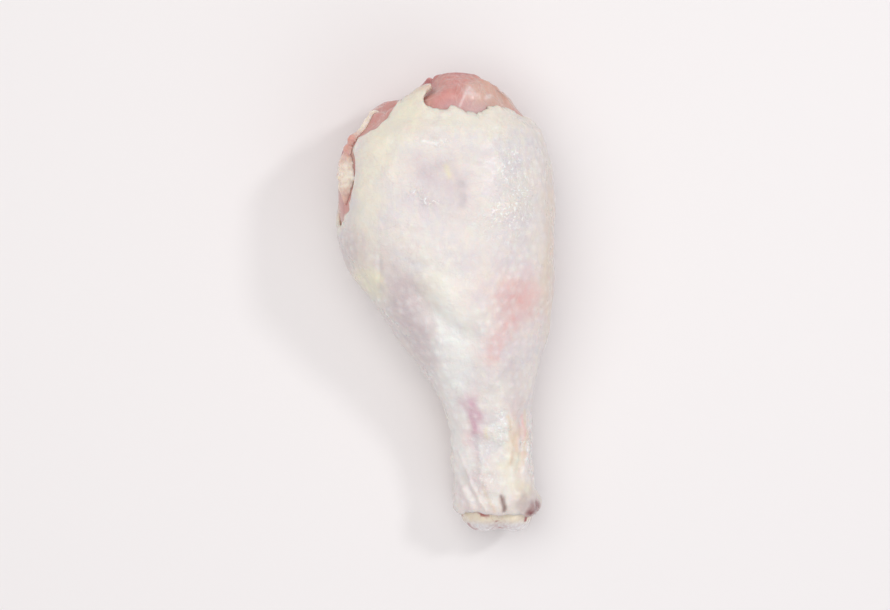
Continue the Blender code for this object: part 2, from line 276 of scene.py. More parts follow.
@dataclass(frozen=True)
class LegForm:
    """The leg's outer surface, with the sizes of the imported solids, in metres."""

    length: float = 0.120
    width: float = 0.057
    height: float = 0.042
    shift: Triple = (-0.0000947, 0.0000882, 0.0)
    roundness: float = 2.25
    sag: float = 0.07
    # Place along, left and right edges as shares of width, lowest and highest of height.
    stations: Rows = (
        (-0.007, 0.020, 0.020, 0.47, 0.47), (0.004, -0.068, 0.108, 0.34, 0.62),
        (0.030, -0.175, 0.220, 0.19, 0.78), (0.062, -0.350, 0.322, 0.09, 0.88),
        (0.113, -0.404, 0.425, 0.02, 0.94), (0.160, -0.480, 0.461, -0.02, 0.975),
        (0.240, -0.496, 0.487, -0.035, 1.00), (0.325, -0.495, 0.500, -0.035, 1.00),
        (0.410, -0.460, 0.497, -0.03, 0.975), (0.490, -0.340, 0.489, -0.015, 0.92),
        (0.565, -0.219, 0.464, 0.01, 0.845), (0.635, -0.118, 0.424, 0.04, 0.75),
        (0.700, -0.030, 0.402, 0.07, 0.665), (0.765, 0.024, 0.392, 0.08, 0.60),
        (0.830, 0.034, 0.396, 0.06, 0.56), (0.890, 0.042, 0.410, 0.03, 0.555),
        (0.935, 0.034, 0.436, 0.012, 0.545), (0.965, 0.056, 0.420, 0.022, 0.515),
        (0.990, 0.120, 0.355, 0.11, 0.42), (1.002, 0.235, 0.235, 0.265, 0.265),
    )
    swells: tuple[Swell, ...] = (
        Swell(0.046, 165, 0.0036, 0.0095, 0, -0.0032),
        Swell(0.525, 108, 0.0115, 0.0042, 32, -0.0017),
        Swell(0.600, 88, 0.0200, 0.0048, 18, 0.0010),
        Swell(0.300, 140, 0.0180, 0.0045, 0, 0.0008),
        Swell(0.490, 48, 0.0100, 0.0062, 0, -0.0009),
        Swell(0.250, 60, 0.0150, 0.0110, 0, 0.0007),
        Swell(0.790, 118, 0.0070, 0.0024, 10, -0.0007),
        Swell(0.840, 35, 0.0100, 0.0018, 0, 0.0006),
        Swell(0.905, 62, 0.0035, 0.0032, 0, 0.0007),
        Swell(0.600, 270, 0.0180, 0.0060, 0, -0.0012),
        Swell(0.450, 225, 0.0150, 0.0060, 0, 0.0008),
    )
    grooves: tuple[float, ...] = (18, 147, 176, 236, 305)
    groove_depth: float = 0.0020
    groove_breadth: float = 10.0
    groove_reach: float = 0.16
    lumps: Ripple = Ripple(7, 0.014, 0.034)
    lump_rise: float = 0.00022

    @property
    def last(self) -> int:
        """The number of the last station."""
        return len(self.stations) - 1

    def at(self, station: Array) -> Array:
        """The leg's sections: a smooth curve through the table of stations.

        Args:
            station: Row numbers of the table, whole or between.

        Returns:
            Place along, middle across, half width, middle height and half height, last.
        """
        along, left, right, low, high = np.array(self.stations).T
        across = np.array([left + right, right - left]) / 2 * self.width
        upward = np.array([low + high, high - low]) / 2 * self.height
        rows = np.stack([along, *across, *upward], axis=-1)
        return smooth_table(rows, odd=(False, False, True, False, True))(station)

    def station_of(self, along: Array) -> Array:
        """The station number of places along the leg."""
        fine = np.linspace(0, self.last, 4000)
        return np.interp(along, self.at(fine)[:, 0], fine)

    def bare(self, station: Array, angle: Array) -> Array:
        """The smooth surface: superellipse sections, wider below their middle than above.

        x = middle + half width * cos(angle)^(2/n) * (1 - sag * sin(angle)^(2/n)),
        z = middle + half height * sin(angle)^(2/n), with n the roundness.

        Args:
            station: Stations down the leg.
            angle: Angles round it in degrees.

        Returns:
            The points.
        """
        along, middle_x, half_x, middle_z, half_z = np.moveaxis(self.at(station), -1, 0)
        across = signed_power(np.cos(np.radians(angle)), 2 / self.roundness)
        upward = signed_power(np.sin(np.radians(angle)), 2 / self.roundness)
        x = middle_x + half_x * across * (1 - self.sag * upward)
        y = (0.5 - along) * self.length + 0 * x
        z = middle_z + half_z * upward
        return np.stack([x, y, z], axis=-1) + np.array(self.shift)

    def normal(self, surface: Callable[[Array, Array], Array], station: Array, angle: Array) -> Array:
        """Outward normals: the cross product of small steps round and down a surface.

        Args:
            surface: Turns station and angle into points.
            station: Stations down the leg.
            angle: Angles round it in degrees.

        Returns:
            The unit normals.
        """
        station = np.clip(station, 0.05, self.last - 0.05)
        round_it = surface(station, angle + 0.7) - surface(station, angle - 0.7)
        down_it = surface(station + 1e-2, angle) - surface(station - 1e-2, angle)
        normal = np.cross(round_it, down_it)
        return normal / np.linalg.norm(normal, axis=-1, keepdims=True)

    def relief(self, along: Array, angle: Array, radius: Array, place: Array) -> Array:
        """Height of the swells, of the grooves between the muscle heads, and of soft lumps.

        Args:
            along: Places along the leg.
            angle: Angles round it in degrees.
            radius: The mean half breadth there.
            place: The points of the smooth surface.

        Returns:
            The height of each point above the smooth surface.
        """
        height = self.lump_rise * self.lumps.at(place)
        for swell in self.swells:
            up = (swell.along - along) * self.length
            across = np.radians(angle_gap(swell.angle, angle)) * radius
            lengthwise, crosswise = turned(up, across, swell.turn)
            height = height + swell.rise * bell(lengthwise, swell.length) * bell(crosswise, swell.breadth)
        fade = np.clip(1 - along / self.groove_reach, 0, 1) * np.clip(radius / (0.3 * self.width), 0, 1)
        for groove in self.grooves:
            height = height - self.groove_depth * fade * bell(angle_gap(groove, angle), self.groove_breadth)
        return height

    def surface(self, station: Array, angle: Array) -> Array:
        """The smooth surface raised by its relief, and flat where it meets the floor.

        Args:
            station: Stations down the leg.
            angle: Angles round it in degrees.

        Returns:
            The points.
        """
        point = self.bare(station, angle)
        along, _, half_x, _, half_z = np.moveaxis(self.at(station), -1, 0)
        radius = (np.abs(half_x) + np.abs(half_z)) / 2
        rise = self.relief(along, angle, radius, point)
        point = point + self.normal(self.bare, station, angle) * rise[..., None]
        point[..., 2] = np.maximum(point[..., 2], 0)
        return point

    def laid(self, station: Array, angle: Array, depth: Array) -> tuple[Array, Array]:
        """Points at a depth below the surface, and the surface's normals there."""
        normal = self.normal(self.surface, station, angle)
        return self.surface(station, angle) - normal * depth[..., None], normal


@dataclass(frozen=True)
class CutEdges:
    """Where the skin was cut: a ragged line round the knee and a wavy one at the ankle."""

    # Column round the leg in degrees, the edge's own angle in degrees, its place along.
    knee_line: Rows = (
        (5, 5, 0.094), (12, 12, 0.086), (19, 19, 0.081), (30, 30, 0.0775), (43, 43, 0.078),
        (55, 55, 0.081), (61, 61, 0.087), (67, 67, 0.0950), (72, 72, 0.0955), (77, 77, 0.0935),
        (80, 80, 0.087), (83, 83, 0.0815), (88, 88, 0.0855), (92, 92, 0.087), (95, 95, 0.0865),
        (98, 98, 0.083), (101, 101.5, 0.074), (103.5, 102.5, 0.063), (106, 104.5, 0.050),
        (109, 109, 0.036), (111.2, 121, 0.0225), (113, 130, 0.0245), (114.5, 131, 0.035),
        (116.3, 127.5, 0.043), (118.2, 124.3, 0.050), (120, 122, 0.056), (122, 123.5, 0.058),
        (124.5, 126, 0.061), (127, 127.8, 0.068), (129.5, 130.2, 0.084), (131.5, 132.5, 0.101),
        (133.5, 135.3, 0.119), (135.3, 138.8, 0.130), (137, 143.5, 0.140), (138.3, 146.7, 0.152),
        (139.5, 146.3, 0.169), (140.7, 144.2, 0.190), (142, 142.8, 0.212), (143.2, 143.3, 0.235),
        (145, 145.6, 0.254), (147.2, 148, 0.268), (149.8, 150.3, 0.285), (153, 153.3, 0.299),
        (158, 158, 0.313), (164, 164, 0.325), (171, 171, 0.332), (180, 180, 0.335), (194, 194, 0.300),
        (208, 208, 0.215), (224, 224, 0.140), (245, 245, 0.108), (280, 280, 0.094), (320, 320, 0.098),
        (345, 345, 0.104),
    )
    knee_ragged: float = 0.0016
    knee_swing: float = 0.25
    ankle_mean: float = 0.956
    ankle_wave: float = 0.006

    def knee(self, column: Array) -> tuple[Array, Array]:
        """The knee edge's angle and place along at each column, with small ragged waves.

        The waves are sines of 37, 61 and 97 turns round the leg.

        Args:
            column: Columns round the leg in degrees.

        Returns:
            The edge's angle and its place along at each column.
        """
        known = np.array(self.knee_line)
        known = np.vstack([known[-3:] - (360, 360, 0), known, known[:3] + (360, 360, 0)])
        place = np.interp(column % 360, known[:, 0], np.arange(len(known)))
        read = smooth_table(known, odd=(False, False, False))(place)
        turn = np.radians(column)
        ragged = np.sin(37 * turn) + 0.7 * np.sin(61 * turn + 1.1) + 0.5 * np.sin(97 * turn + 2.3)
        angle = column + angle_gap(read[..., 1], column % 360)
        return angle + self.knee_swing * np.sin(53 * turn), read[..., 2] + self.knee_ragged * ragged

    def ankle(self, column: Array) -> Array:
        """The ankle edge: a mean place along, waved by sines of 2, 5 and 17 turns.

        Args:
            column: Columns round the leg in degrees.

        Returns:
            The edge's place along at each column.
        """
        turn = np.radians(column)
        wave = 0.6 * np.sin(2 * turn + 0.6) + 0.4 * np.sin(5 * turn) + 0.25 * np.sin(17 * turn + 1)
        return self.ankle_mean + self.ankle_wave * wave


# Colour patches.


class Tone(Enum):
    """What colours a patch, each held as one attribute of the mesh."""

    CREAM = "cream"
    LILAC = "lilac"
    BLUSH = "blush"
    # Red blood; on the muscle's left outline it is also painted shadow.
    BLOOD_AND_SHADE = "blood"
    # Whitish membrane, bone and skin; on the skin's shank and folds it is also painted highlight and
    # glints.
    CHALK_AND_GLINT = "chalk_and_glint"
    YELLOW = "yellow"
    TAN = "tan"
    PLUM = "plum"
    GREY = "grey"
    SHADE = "shade"
    WET = "wet"


class Patch(NamedTuple):
    """A soft elliptical patch, seen from above: places and half sizes in millimetres."""

    x: float
    y: float
    half_length: float
    half_breadth: float
    turn: float
    strength: float


class Streak(NamedTuple):
    """A line, such as a vein or a thread of membrane: corners and breadth in millimetres."""

    path: tuple[Pair, ...]
    breadth: float
    strength: float


@dataclass(frozen=True)
class Palette:
    """Turns the patches and streaks of each tone, and clouds underneath, into masks."""

    # For each tone, rows of the values of a Patch and of a Streak.
    patches: dict[Tone, tuple[tuple, ...]]
    streaks: dict[Tone, tuple[tuple, ...]]
    under: tuple[tuple[Tone, int, float], ...]
    warp: Ripple = Ripple(31, 0.0035, 0.009)
    warp_reach: float = 0.6
    streak_warp: float = 0.3

    def masks(self, points: Array, normals: Array) -> dict[str, Array]:
        """Works out the masks.

        A patch is strength / (1 + r^4), with r the distance from its middle in half sizes after
        the place is shaken by noise. A streak is a bell of the distance from its line, shaken
        less. Both count only where the surface faces up; below, soft noise of 9 to 26 mm
        stands in for them. All of one tone join as 1 - product of (1 - each).

        Args:
            points: Places in metres.
            normals: Unit normals there.

        Returns:
            The masks by the tone's name.
        """
        upward = smooth_step((normals[..., 2] + 0.15) / 0.35)
        x = points[..., 0] / MM + self.warp_reach * self.warp.at(points)
        y = points[..., 1] / MM + self.warp_reach * self.warp.at(points + 0.37)
        clear = {tone: np.ones(points.shape[:-1]) for tone in Tone}
        for tone, patch in ((tone, Patch(*row)) for tone, rows in self.patches.items() for row in rows):
            lengthwise, crosswise = turned(y - patch.y, x - patch.x, patch.turn)
            r = np.hypot(lengthwise / patch.half_length, crosswise / patch.half_breadth)
            clear[tone] *= 1 - patch.strength * upward / (1 + r**4)
        still = 1 - self.streak_warp
        shaken = still * points[..., :2] / MM + self.streak_warp * np.stack([x, y], axis=-1)
        for tone, streak in ((tone, Streak(*row)) for tone, rows in self.streaks.items() for row in rows):
            distance = distance_to_path(shaken, np.array(streak.path))
            clear[tone] *= 1 - streak.strength * upward * bell(distance, streak.breadth)
        for tone, seed, strength in self.under:
            cloud = smooth_step((Ripple(seed, 0.009, 0.026).at(points) + 0.2) / 1.1)
            clear[tone] *= 1 - strength * cloud * (1 - upward)
        return {tone.value: 1 - left for tone, left in clear.items()}


# Node trees.


class Graph:
    """Adds and joins nodes of one tree in few words."""

    def __init__(self, tree: bpy.types.NodeTree) -> None:
        """Keeps the tree that the nodes go into."""
        self.tree = tree

    def node(self, kind: str, **settings: object) -> bpy.types.Node:
        """Adds a node.

        Args:
            kind: The node's type, without its leading ShaderNode.
            settings: Its properties.

        Returns:
            The node.
        """
        made = self.tree.nodes.new("ShaderNode" + kind)
        for name, value in settings.items():
            setattr(made, name, value)
        return made

    def feed(self, socket: Socket, source: object) -> None:
        """Links a socket to another socket, or sets it to a value."""
        if isinstance(source, Socket):
            self.tree.links.new(source, socket)
        else:
            socket.default_value = source

    def math(self, operation: str, *sources: object, clamp: bool = False) -> Socket:
        """Adds a Math node.

        Args:
            operation: What it works out.
            sources: Its inputs, as sockets or numbers.
            clamp: Whether the result is held between 0 and 1.

        Returns:
            Its value.
        """
        made = self.node("Math", operation=operation, use_clamp=clamp)
        for socket, source in zip(made.inputs, sources):
            self.feed(socket, source)
        return made.outputs[0]

    def mix(self, factor: object, first: object, second: object, blend: str = "MIX") -> Socket:
        """Mixes two colours.

        Args:
            factor: How much of the second shows.
            first: The first colour.
            second: The second colour.
            blend: The node's way of blending.

        Returns:
            The mixed colour.
        """
        made = self.node("Mix", data_type="RGBA", blend_type=blend, clamp_factor=True)
        inputs = {socket.identifier: socket for socket in made.inputs}
        for name, source in (("Factor_Float", factor), ("A_Color", first), ("B_Color", second)):
            self.feed(inputs[name], source)
        return next(s for s in made.outputs if s.identifier == "Result_Color")

    def span(self, value: object, low: float, high: float, start: float = 0, end: float = 1) -> Socket:
        """Maps a value from one range to another, eased, and held at both ends.

        Args:
            value: The value.
            low: Where the first range starts.
            high: Where it ends.
            start: What low becomes.
            end: What high becomes.

        Returns:
            The mapped value.
        """
        made = self.node("MapRange", interpolation_type="SMOOTHSTEP")
        for socket, source in zip(made.inputs, (value, low, high, start, end)):
            self.feed(socket, source)
        return made.outputs["Result"]

    def place(self, stretch: Triple = (1, 1, 1)) -> Socket:
        """Object coordinates, stretched along the axes.

        Args:
            stretch: What each coordinate is multiplied by.

        Returns:
            The coordinates.
        """
        mapping = self.node("Mapping")
        self.feed(mapping.inputs["Vector"], self.node("TexCoord").outputs["Object"])
        self.feed(mapping.inputs["Scale"], stretch)
        return mapping.outputs["Vector"]

    def noise(
        self, vector: object, scale: object, detail: float = 3.0, roughness: float = 0.55, bent: float = 0.0
    ) -> Socket:
        """Adds a Noise Texture.

        Args:
            vector: Where it is read.
            scale: How many of its lumps fit in a metre.
            detail: How many finer layers it has.
            roughness: How strong those are.
            bent: How far it is distorted.

        Returns:
            Its value.
        """
        made = self.node("TexNoise")
        names = ("Vector", "Scale", "Detail", "Roughness", "Distortion")
        for name, source in zip(names, (vector, scale, detail, roughness, bent)):
            self.feed(made.inputs[name], source)
        return made.outputs["Fac"]

    def mask(self, name: str) -> Socket:
        """Reads one of the mesh's own masks."""
        return self.node("Attribute", attribute_type="GEOMETRY", attribute_name=name).outputs["Fac"]

    def group(self, shared: bpy.types.NodeTree, **sources: object) -> bpy.types.Node:
        """Places a shared group.

        Args:
            shared: The group.
            sources: What feeds its inputs, by their names.

        Returns:
            The group's node.
        """
        made = self.node("Group", node_tree=shared)
        for name, source in sources.items():
            self.feed(made.inputs[name], source)
        return made


class SharedEffects:
    """The node groups that several finishes use, each built once."""

    def __init__(self) -> None:
        """Builds all groups."""
        self.stain = self._stain()
        self.wet_grain = self._wet_grain()
        self.marbling = self._marbling()

    @staticmethod
    def _start(name: str, inputs: dict[str, str | float], outputs: dict[str, str]) -> tuple:
        """Makes an empty group with named sockets.

        Args:
            name: The group's name.
            inputs: Each input's type, or the starting value of one that is a number.
            outputs: Each output's type.

        Returns:
            The group, its graph, what its inputs give, and what its outputs take.
        """
        tree = bpy.data.node_groups.new(name, "ShaderNodeTree")
        for label, start in inputs.items():
            kind = start if isinstance(start, str) else "Float"
            socket = tree.interface.new_socket(label, in_out="INPUT", socket_type="NodeSocket" + kind)
            if start is not kind:
                socket.default_value = start
        for label, kind in outputs.items():
            tree.interface.new_socket(label, in_out="OUTPUT", socket_type="NodeSocket" + kind)
        given, taken = tree.nodes.new("NodeGroupInput").outputs, tree.nodes.new("NodeGroupOutput").inputs
        return tree, Graph(tree), given, taken

    def _stain(self) -> bpy.types.NodeTree:
        """Lays a second colour over a first where a mask, broken up by noise, is strong."""
        inputs = {"Under": "Color", "Over": "Color", "Mask": 0.0, "Scale": 400.0, "Breakup": 0.5}
        tree, graph, given, taken = self._start("Stain", inputs, {"Colour": "Color"})
        noise = graph.noise(graph.place(), given["Scale"], detail=4, roughness=0.6, bent=0.6)
        swing = graph.math("MULTIPLY", graph.math("SUBTRACT", noise, 0.5), given["Breakup"])
        swing = graph.math("MULTIPLY", swing, 3.0)
        weight = graph.math("MULTIPLY", given["Mask"], graph.math("ADD", swing, 1.0), clamp=True)
        colour = graph.mix(weight, given["Under"], given["Over"])
        graph.feed(taken["Colour"], colour)
        return tree

    def _wet_grain(self) -> bpy.types.NodeTree:
        """Height and roughness of a wet, finely puckered surface."""
        inputs = {"Vector": "Vector", "Coarse": 500.0, "Fine": 2200.0, "Smooth": 0.22, "Rough": 0.5}
        outputs = {"Height": "Float", "Roughness": "Float"}
        tree, graph, given, taken = self._start("Wet grain", inputs, outputs)
        coarse = graph.noise(given["Vector"], given["Coarse"], detail=3, bent=0.4)
        fine = graph.noise(given["Vector"], given["Fine"], detail=2, roughness=0.5)
        height = graph.math("ADD", coarse, graph.math("MULTIPLY", fine, 0.22))
        graph.feed(taken["Height"], height)
        wide = graph.noise(given["Vector"], 160.0, detail=3)
        spread = graph.math("SUBTRACT", given["Rough"], given["Smooth"])
        rough = graph.math("MULTIPLY_ADD", graph.span(wide, 0.35, 0.65), spread, given["Smooth"])
        graph.feed(taken["Roughness"], rough)
        return tree

    def _marbling(self) -> bpy.types.NodeTree:
        """Thin branching threads: where a bent noise crosses its middle value."""
        inputs = {"Vector": "Vector", "Scale": 200.0, "Breadth": 0.05}
        tree, graph, given, taken = self._start("Marbling", inputs, {"Mask": "Float"})
        noise = graph.noise(given["Vector"], given["Scale"], detail=3, roughness=0.5, bent=1.2)
        off = graph.math("ABSOLUTE", graph.math("SUBTRACT", noise, 0.5))
        thin = graph.math("SUBTRACT", 1.0, graph.math("DIVIDE", off, given["Breadth"]), clamp=True)
        patchy = graph.noise(given["Vector"], 120.0, detail=1)
        graph.feed(taken["Mask"], graph.math("MULTIPLY", thin, graph.span(patchy, 0.42, 0.62)))
        return tree


@dataclass(frozen=True)
class Body:
    """How light meets a finish below its colour: wet coat, depth of flesh and fine relief."""

    coat: float = 0.5
    coat_roughness: float = 0.14
    coat_ior: float = 1.38
    flesh: float = 0.25
    flesh_reach: Triple = (0.0030, 0.0014, 0.0010)
    specular: float = 0.5
    ior: float = 1.40
    bump: float = 0.5
    bump_reach: float = 0.0004

    def close(self, graph: Graph, colour: Socket, roughness: Socket, height: Socket) -> None:
        """Adds the bump, the Principled shader and the output, and joins them up.

        Args:
            graph: The material's graph.
            colour: The base colour.
            roughness: The roughness.
            height: The height of the fine relief.
        """
        bump = graph.node("Bump")
        for name, value in (("Strength", self.bump), ("Distance", self.bump_reach), ("Height", height)):
            graph.feed(bump.inputs[name], value)
        shader = graph.node("BsdfPrincipled")
        values = {
            "Base Color": colour,
            "Roughness": roughness,
            "Normal": bump.outputs["Normal"],
            "Coat Weight": self.coat,
            "Coat Roughness": self.coat_roughness,
            "Coat IOR": self.coat_ior,
            "Subsurface Weight": self.flesh,
            "Subsurface Radius": self.flesh_reach,
            "Subsurface Scale": 1.0,
            "Specular IOR Level": self.specular,
            "IOR": self.ior,
        }
        for name, value in values.items():
            graph.feed(shader.inputs[name], value)
        graph.feed(graph.node("OutputMaterial").inputs["Surface"], shader.outputs["BSDF"])


def stained(graph: Graph, shared: SharedEffects, colour: Socket, tones: Stains, scale: float) -> Socket:
    """Lays the colour of each tone over a colour, by the mesh's mask of that tone.

    Args:
        graph: The material's graph.
        shared: The shared node groups.
        colour: The colour underneath.
        tones: Each tone with its colour and how far noise breaks it up.
        scale: The scale of that noise.

    Returns:
        The stained colour.
    """
    for tone, tint, breakup in tones:
        mask = graph.mask(tone.value)
        laid = graph.group(shared.stain, Under=colour, Over=tint, Mask=mask, Scale=scale, Breakup=breakup)
        colour = laid.outputs["Colour"]
    return colour


def new_material(name: str) -> tuple[bpy.types.Material, Graph]:
    """Makes an empty node material.

    Args:
        name: The material's name.

    Returns:
        The material and its graph.
    """
    material = bpy.data.materials.new(name)
    material.use_nodes = True
    material.node_tree.nodes.clear()
    return material, Graph(material.node_tree)


@dataclass(frozen=True)
class SkinFinish:
    """Wet, thin raw skin: pale, with cream fat, lilac flesh and pink showing through, and painted
    highlights on its goose bumps and painted glints where it is wet.
    """

    base: Colour = linear(229, 219, 215)
    cool: Colour = linear(222, 214, 216)
    warm: Colour = linear(236, 228, 216)
    # Near-white painted highlight, laid on the goose bumps' tops and as glints on wet skin.
    painted_highlight: Colour = linear(252, 250, 247)
    vein: Colour = linear(205, 180, 184)
    tones: Stains = (
        (Tone.LILAC, linear(203, 189, 192), 0.55),
        (Tone.CREAM, linear(238, 229, 208), 0.35),
        (Tone.BLUSH, linear(226, 178, 174), 0.55),
        # On the skin this whitish tone also paints highlights and glints on the shank and along folds.
        (Tone.CHALK_AND_GLINT, linear(243, 239, 235), 0.5),
        (Tone.YELLOW, linear(232, 221, 186), 0.3),
        (Tone.TAN, linear(222, 202, 182), 0.4),
        (Tone.PLUM, linear(212, 174, 188), 0.5),
        (Tone.GREY, linear(196, 188, 190), 0.3),
        (Tone.SHADE, linear(150, 128, 122), 0.3),
        (Tone.BLOOD_AND_SHADE, linear(120, 44, 50), 0.3),
    )
    stain_scale: float = 380.0
    vein_share: float = 0.16
    # How strongly the painted highlight lightens the goose bumps' tops.
    mound_highlight_share: float = 0.30
    # How strongly the wet specks get the painted glint.
    painted_glint_share: float = 0.85
    # Height of the fine grain where dry, and how much more where wet.
    grain_lift: Pair = (0.34, 0.85)
    wet_gloss: float = 0.6
    body: Body = Body(coat=0.35, coat_roughness=0.24, flesh=0.28, bump=0.8, bump_reach=0.0006)

    def build(self, shared: SharedEffects) -> bpy.types.Material:
        """Makes the material.

        Args:
            shared: The shared node groups.

        Returns:
            The material.
        """
        material, graph = new_material("raw skin")
        place = graph.place()
        wide = graph.noise(place, 90.0, detail=4, roughness=0.6, bent=0.5)
        close = graph.noise(graph.place((1.0, 0.6, 1.0)), 420.0, detail=3, roughness=0.55, bent=0.6)
        colour = graph.mix(graph.span(wide, 0.36, 0.60), self.cool, self.base)
        colour = graph.mix(graph.math("MULTIPLY", graph.span(close, 0.40, 0.72), 0.6), colour, self.warm)
        colour = stained(graph, shared, colour, self.tones, self.stain_scale)
        veins = graph.group(shared.marbling, Vector=place, Scale=150.0, Breadth=0.03).outputs["Mask"]
        colour = graph.mix(graph.math("MULTIPLY", veins, self.vein_share), colour, self.vein)
        # Painted highlight: the goose bumps are lightened towards near white, as lit tops would look.
        mounds = graph.math("MULTIPLY", graph.mask("follicle"), self.mound_highlight_share)
        colour = graph.mix(mounds, colour, self.painted_highlight)
        wet = graph.mask("wet")
        # Painted glints: tiny near-white specks from fine noise where the skin is wet.
        painted_glints = graph.span(graph.noise(place, 1150.0, detail=2, roughness=0.5, bent=0.8), 0.56, 0.66)
        painted_glints = graph.math("MULTIPLY", graph.math("MULTIPLY", painted_glints, wet), self.painted_glint_share)
        colour = graph.mix(painted_glints, colour, self.painted_highlight)
        gloss = {"Smooth": 0.26, "Rough": 0.46}
        grain = graph.group(shared.wet_grain, Vector=place, Coarse=900.0, Fine=2800.0, **gloss)
        lift = graph.math("MULTIPLY_ADD", wet, self.grain_lift[1], self.grain_lift[0])
        height = graph.math("MULTIPLY", grain.outputs["Height"], lift)
        drier = graph.math("MULTIPLY_ADD", wet, -self.wet_gloss, 1.0)
        self.body.close(graph, colour, graph.math("MULTIPLY", grain.outputs["Roughness"], drier), height)
        return material


@dataclass(frozen=True)
class FleshFinish:
    """Bare muscle or fat: two mixed colours, threads of fat, patches, and a wet grain."""

    name: str
    base: Colour
    other: Colour
    thread: Colour
    tones: Stains
    fibre: Triple = (1.0, 0.22, 1.0)
    darker: Colour = (0.82, 0.74, 0.74, 1.0)
    darker_share: float = 0.6
    stain_scale: float = 500.0
    threads: float = 0.5
    smooth: float = 0.22
    rough: float = 0.45
    body: Body = Body()

    def build(self, shared: SharedEffects) -> bpy.types.Material:
        """Makes the material.

        Args:
            shared: The shared node groups.

        Returns:
            The material.
        """
        material, graph = new_material(self.name)
        along = graph.place(self.fibre)
        wide = graph.noise(graph.place(), 140.0, detail=3, roughness=0.6, bent=0.7)
        colour = graph.mix(graph.span(wide, 0.38, 0.62), self.base, self.other)
        bundles = graph.noise(along, 900.0, detail=3, roughness=0.6, bent=0.3)
        darker = graph.mix(1.0, colour, self.darker, "MULTIPLY")
        colour = graph.mix(graph.span(bundles, 0.56, 0.40, 0.0, self.darker_share), colour, darker)
        colour = stained(graph, shared, colour, self.tones, self.stain_scale)
        threads = graph.group(shared.marbling, Vector=along, Scale=230.0, Breadth=0.035).outputs["Mask"]
        colour = graph.mix(graph.math("MULTIPLY", threads, self.threads), colour, self.thread)
        gloss = {"Smooth": self.smooth, "Rough": self.rough}
        grain = graph.group(shared.wet_grain, Vector=along, Coarse=900.0, Fine=2600.0, **gloss)
        self.body.close(graph, colour, grain.outputs["Roughness"], grain.outputs["Height"])
        return material


MUSCLE = FleshFinish(
    "raw muscle",
    base=linear(211, 153, 149),
    other=linear(211, 164, 152),
    thread=linear(232, 200, 192),
    tones=(
        (Tone.LILAC, linear(201, 172, 185), 0.35),
        (Tone.CREAM, linear(214, 176, 158), 0.5),
        (Tone.CHALK_AND_GLINT, linear(238, 222, 220), 0.7),
        (Tone.YELLOW, linear(226, 196, 160), 0.5),
        (Tone.SHADE, linear(150, 88, 84), 0.4),
        # On the muscle this dark red also paints the shadow along the left outline.
        (Tone.BLOOD_AND_SHADE, linear(168, 84, 88), 0.5),
        (Tone.BLUSH, linear(212, 146, 139), 0.4),
    ),
    threads=0.35,
    body=Body(0.5, 0.18, flesh=0.30, flesh_reach=(0.0034, 0.0012, 0.0009)),
)

FAT = FleshFinish(
    "soft fat",
    base=linear(250, 236, 220),
    other=linear(244, 226, 210),
    thread=linear(226, 184, 170),
    tones=((Tone.BLUSH, linear(220, 166, 156), 0.5),),
    fibre=(1.0, 0.6, 1.0),
    threads=0.45,
    body=Body(0.5, 0.2, flesh=0.35, flesh_reach=(0.0030, 0.0020, 0.0012)),
)

CARTILAGE = FleshFinish(
    "bone and cartilage",
    base=linear(232, 230, 230),
    other=linear(222, 216, 214),
    thread=linear(196, 120, 120),
    tones=(
        (Tone.CREAM, linear(234, 220, 192), 0.4),
        (Tone.CHALK_AND_GLINT, linear(228, 205, 198), 0.4),
        (Tone.BLOOD_AND_SHADE, linear(160, 74, 76), 0.6),
    ),
    fibre=(1.0, 0.8, 1.0),
    threads=0.25,
    smooth=0.12,
    rough=0.34,
    body=Body(0.7, 0.1, flesh=0.2, flesh_reach=(0.0020, 0.0016, 0.0014), bump_reach=0.0002),
)


# The pieces.


@dataclass(frozen=True)
class Follicles:
    """Goose bumps: small soft mounds on rings of jittered places, closer on the thin shank."""

    spacing: float = 0.0031
    reach: float = 0.00078
    first: float = 0.06
    last: float = 0.93
    jitter: float = 0.22
    seed: int = 5
    batch: int = 6000
    # How far apart the rings are, as a share of the spacing round them.
    ring_gap: float = 0.88

    def places(self, leg: LegForm) -> Array:
        """Middles of the mounds: rings a spacing apart, each ring shifted by half a step.

        Args:
            leg: The leg's form.

        Returns:
            The middles, one row each.
        """
        chance = np.random.default_rng(self.seed)
        found = []
        alongs = np.arange(self.first, self.last, self.spacing * self.ring_gap / leg.length)
        for row, along in enumerate(alongs):
            _, _, half_x, _, half_z = leg.at(leg.station_of(np.array(along)))
            count = max(12, round(math.pi * (half_x + half_z) / self.spacing))
            step = 360 / count
            angle = (np.arange(count) + 0.5 * (row % 2)) * step
            angle = angle + chance.uniform(-1, 1, count) * self.jitter * step
            shaken = along + chance.uniform(-1, 1, count) * self.jitter * self.spacing / leg.length
            found.append(leg.surface(leg.station_of(shaken), angle))
        return np.concatenate(found)

    def mounds(self, leg: LegForm, points: Array) -> Array:
        """Height of the mounds: the sum of a bell round each middle.

        Args:
            leg: The leg's form.
            points: Places on its surface, which are taken a few thousand at a time.

        Returns:
            The height at each place, where one mound is 1 high.
        """
        middles = self.places(leg)
        flat = points.reshape(-1, 3)
        height = np.empty(len(flat))
        for start in range(0, len(flat), self.batch):
            part = flat[start : start + self.batch]
            square = (part**2).sum(1)[:, None] + (middles**2).sum(1)[None] - 2 * part @ middles.T
            height[start : start + self.batch] = np.exp(-square / self.reach**2).sum(1)
        return height.reshape(points.shape[:-1])


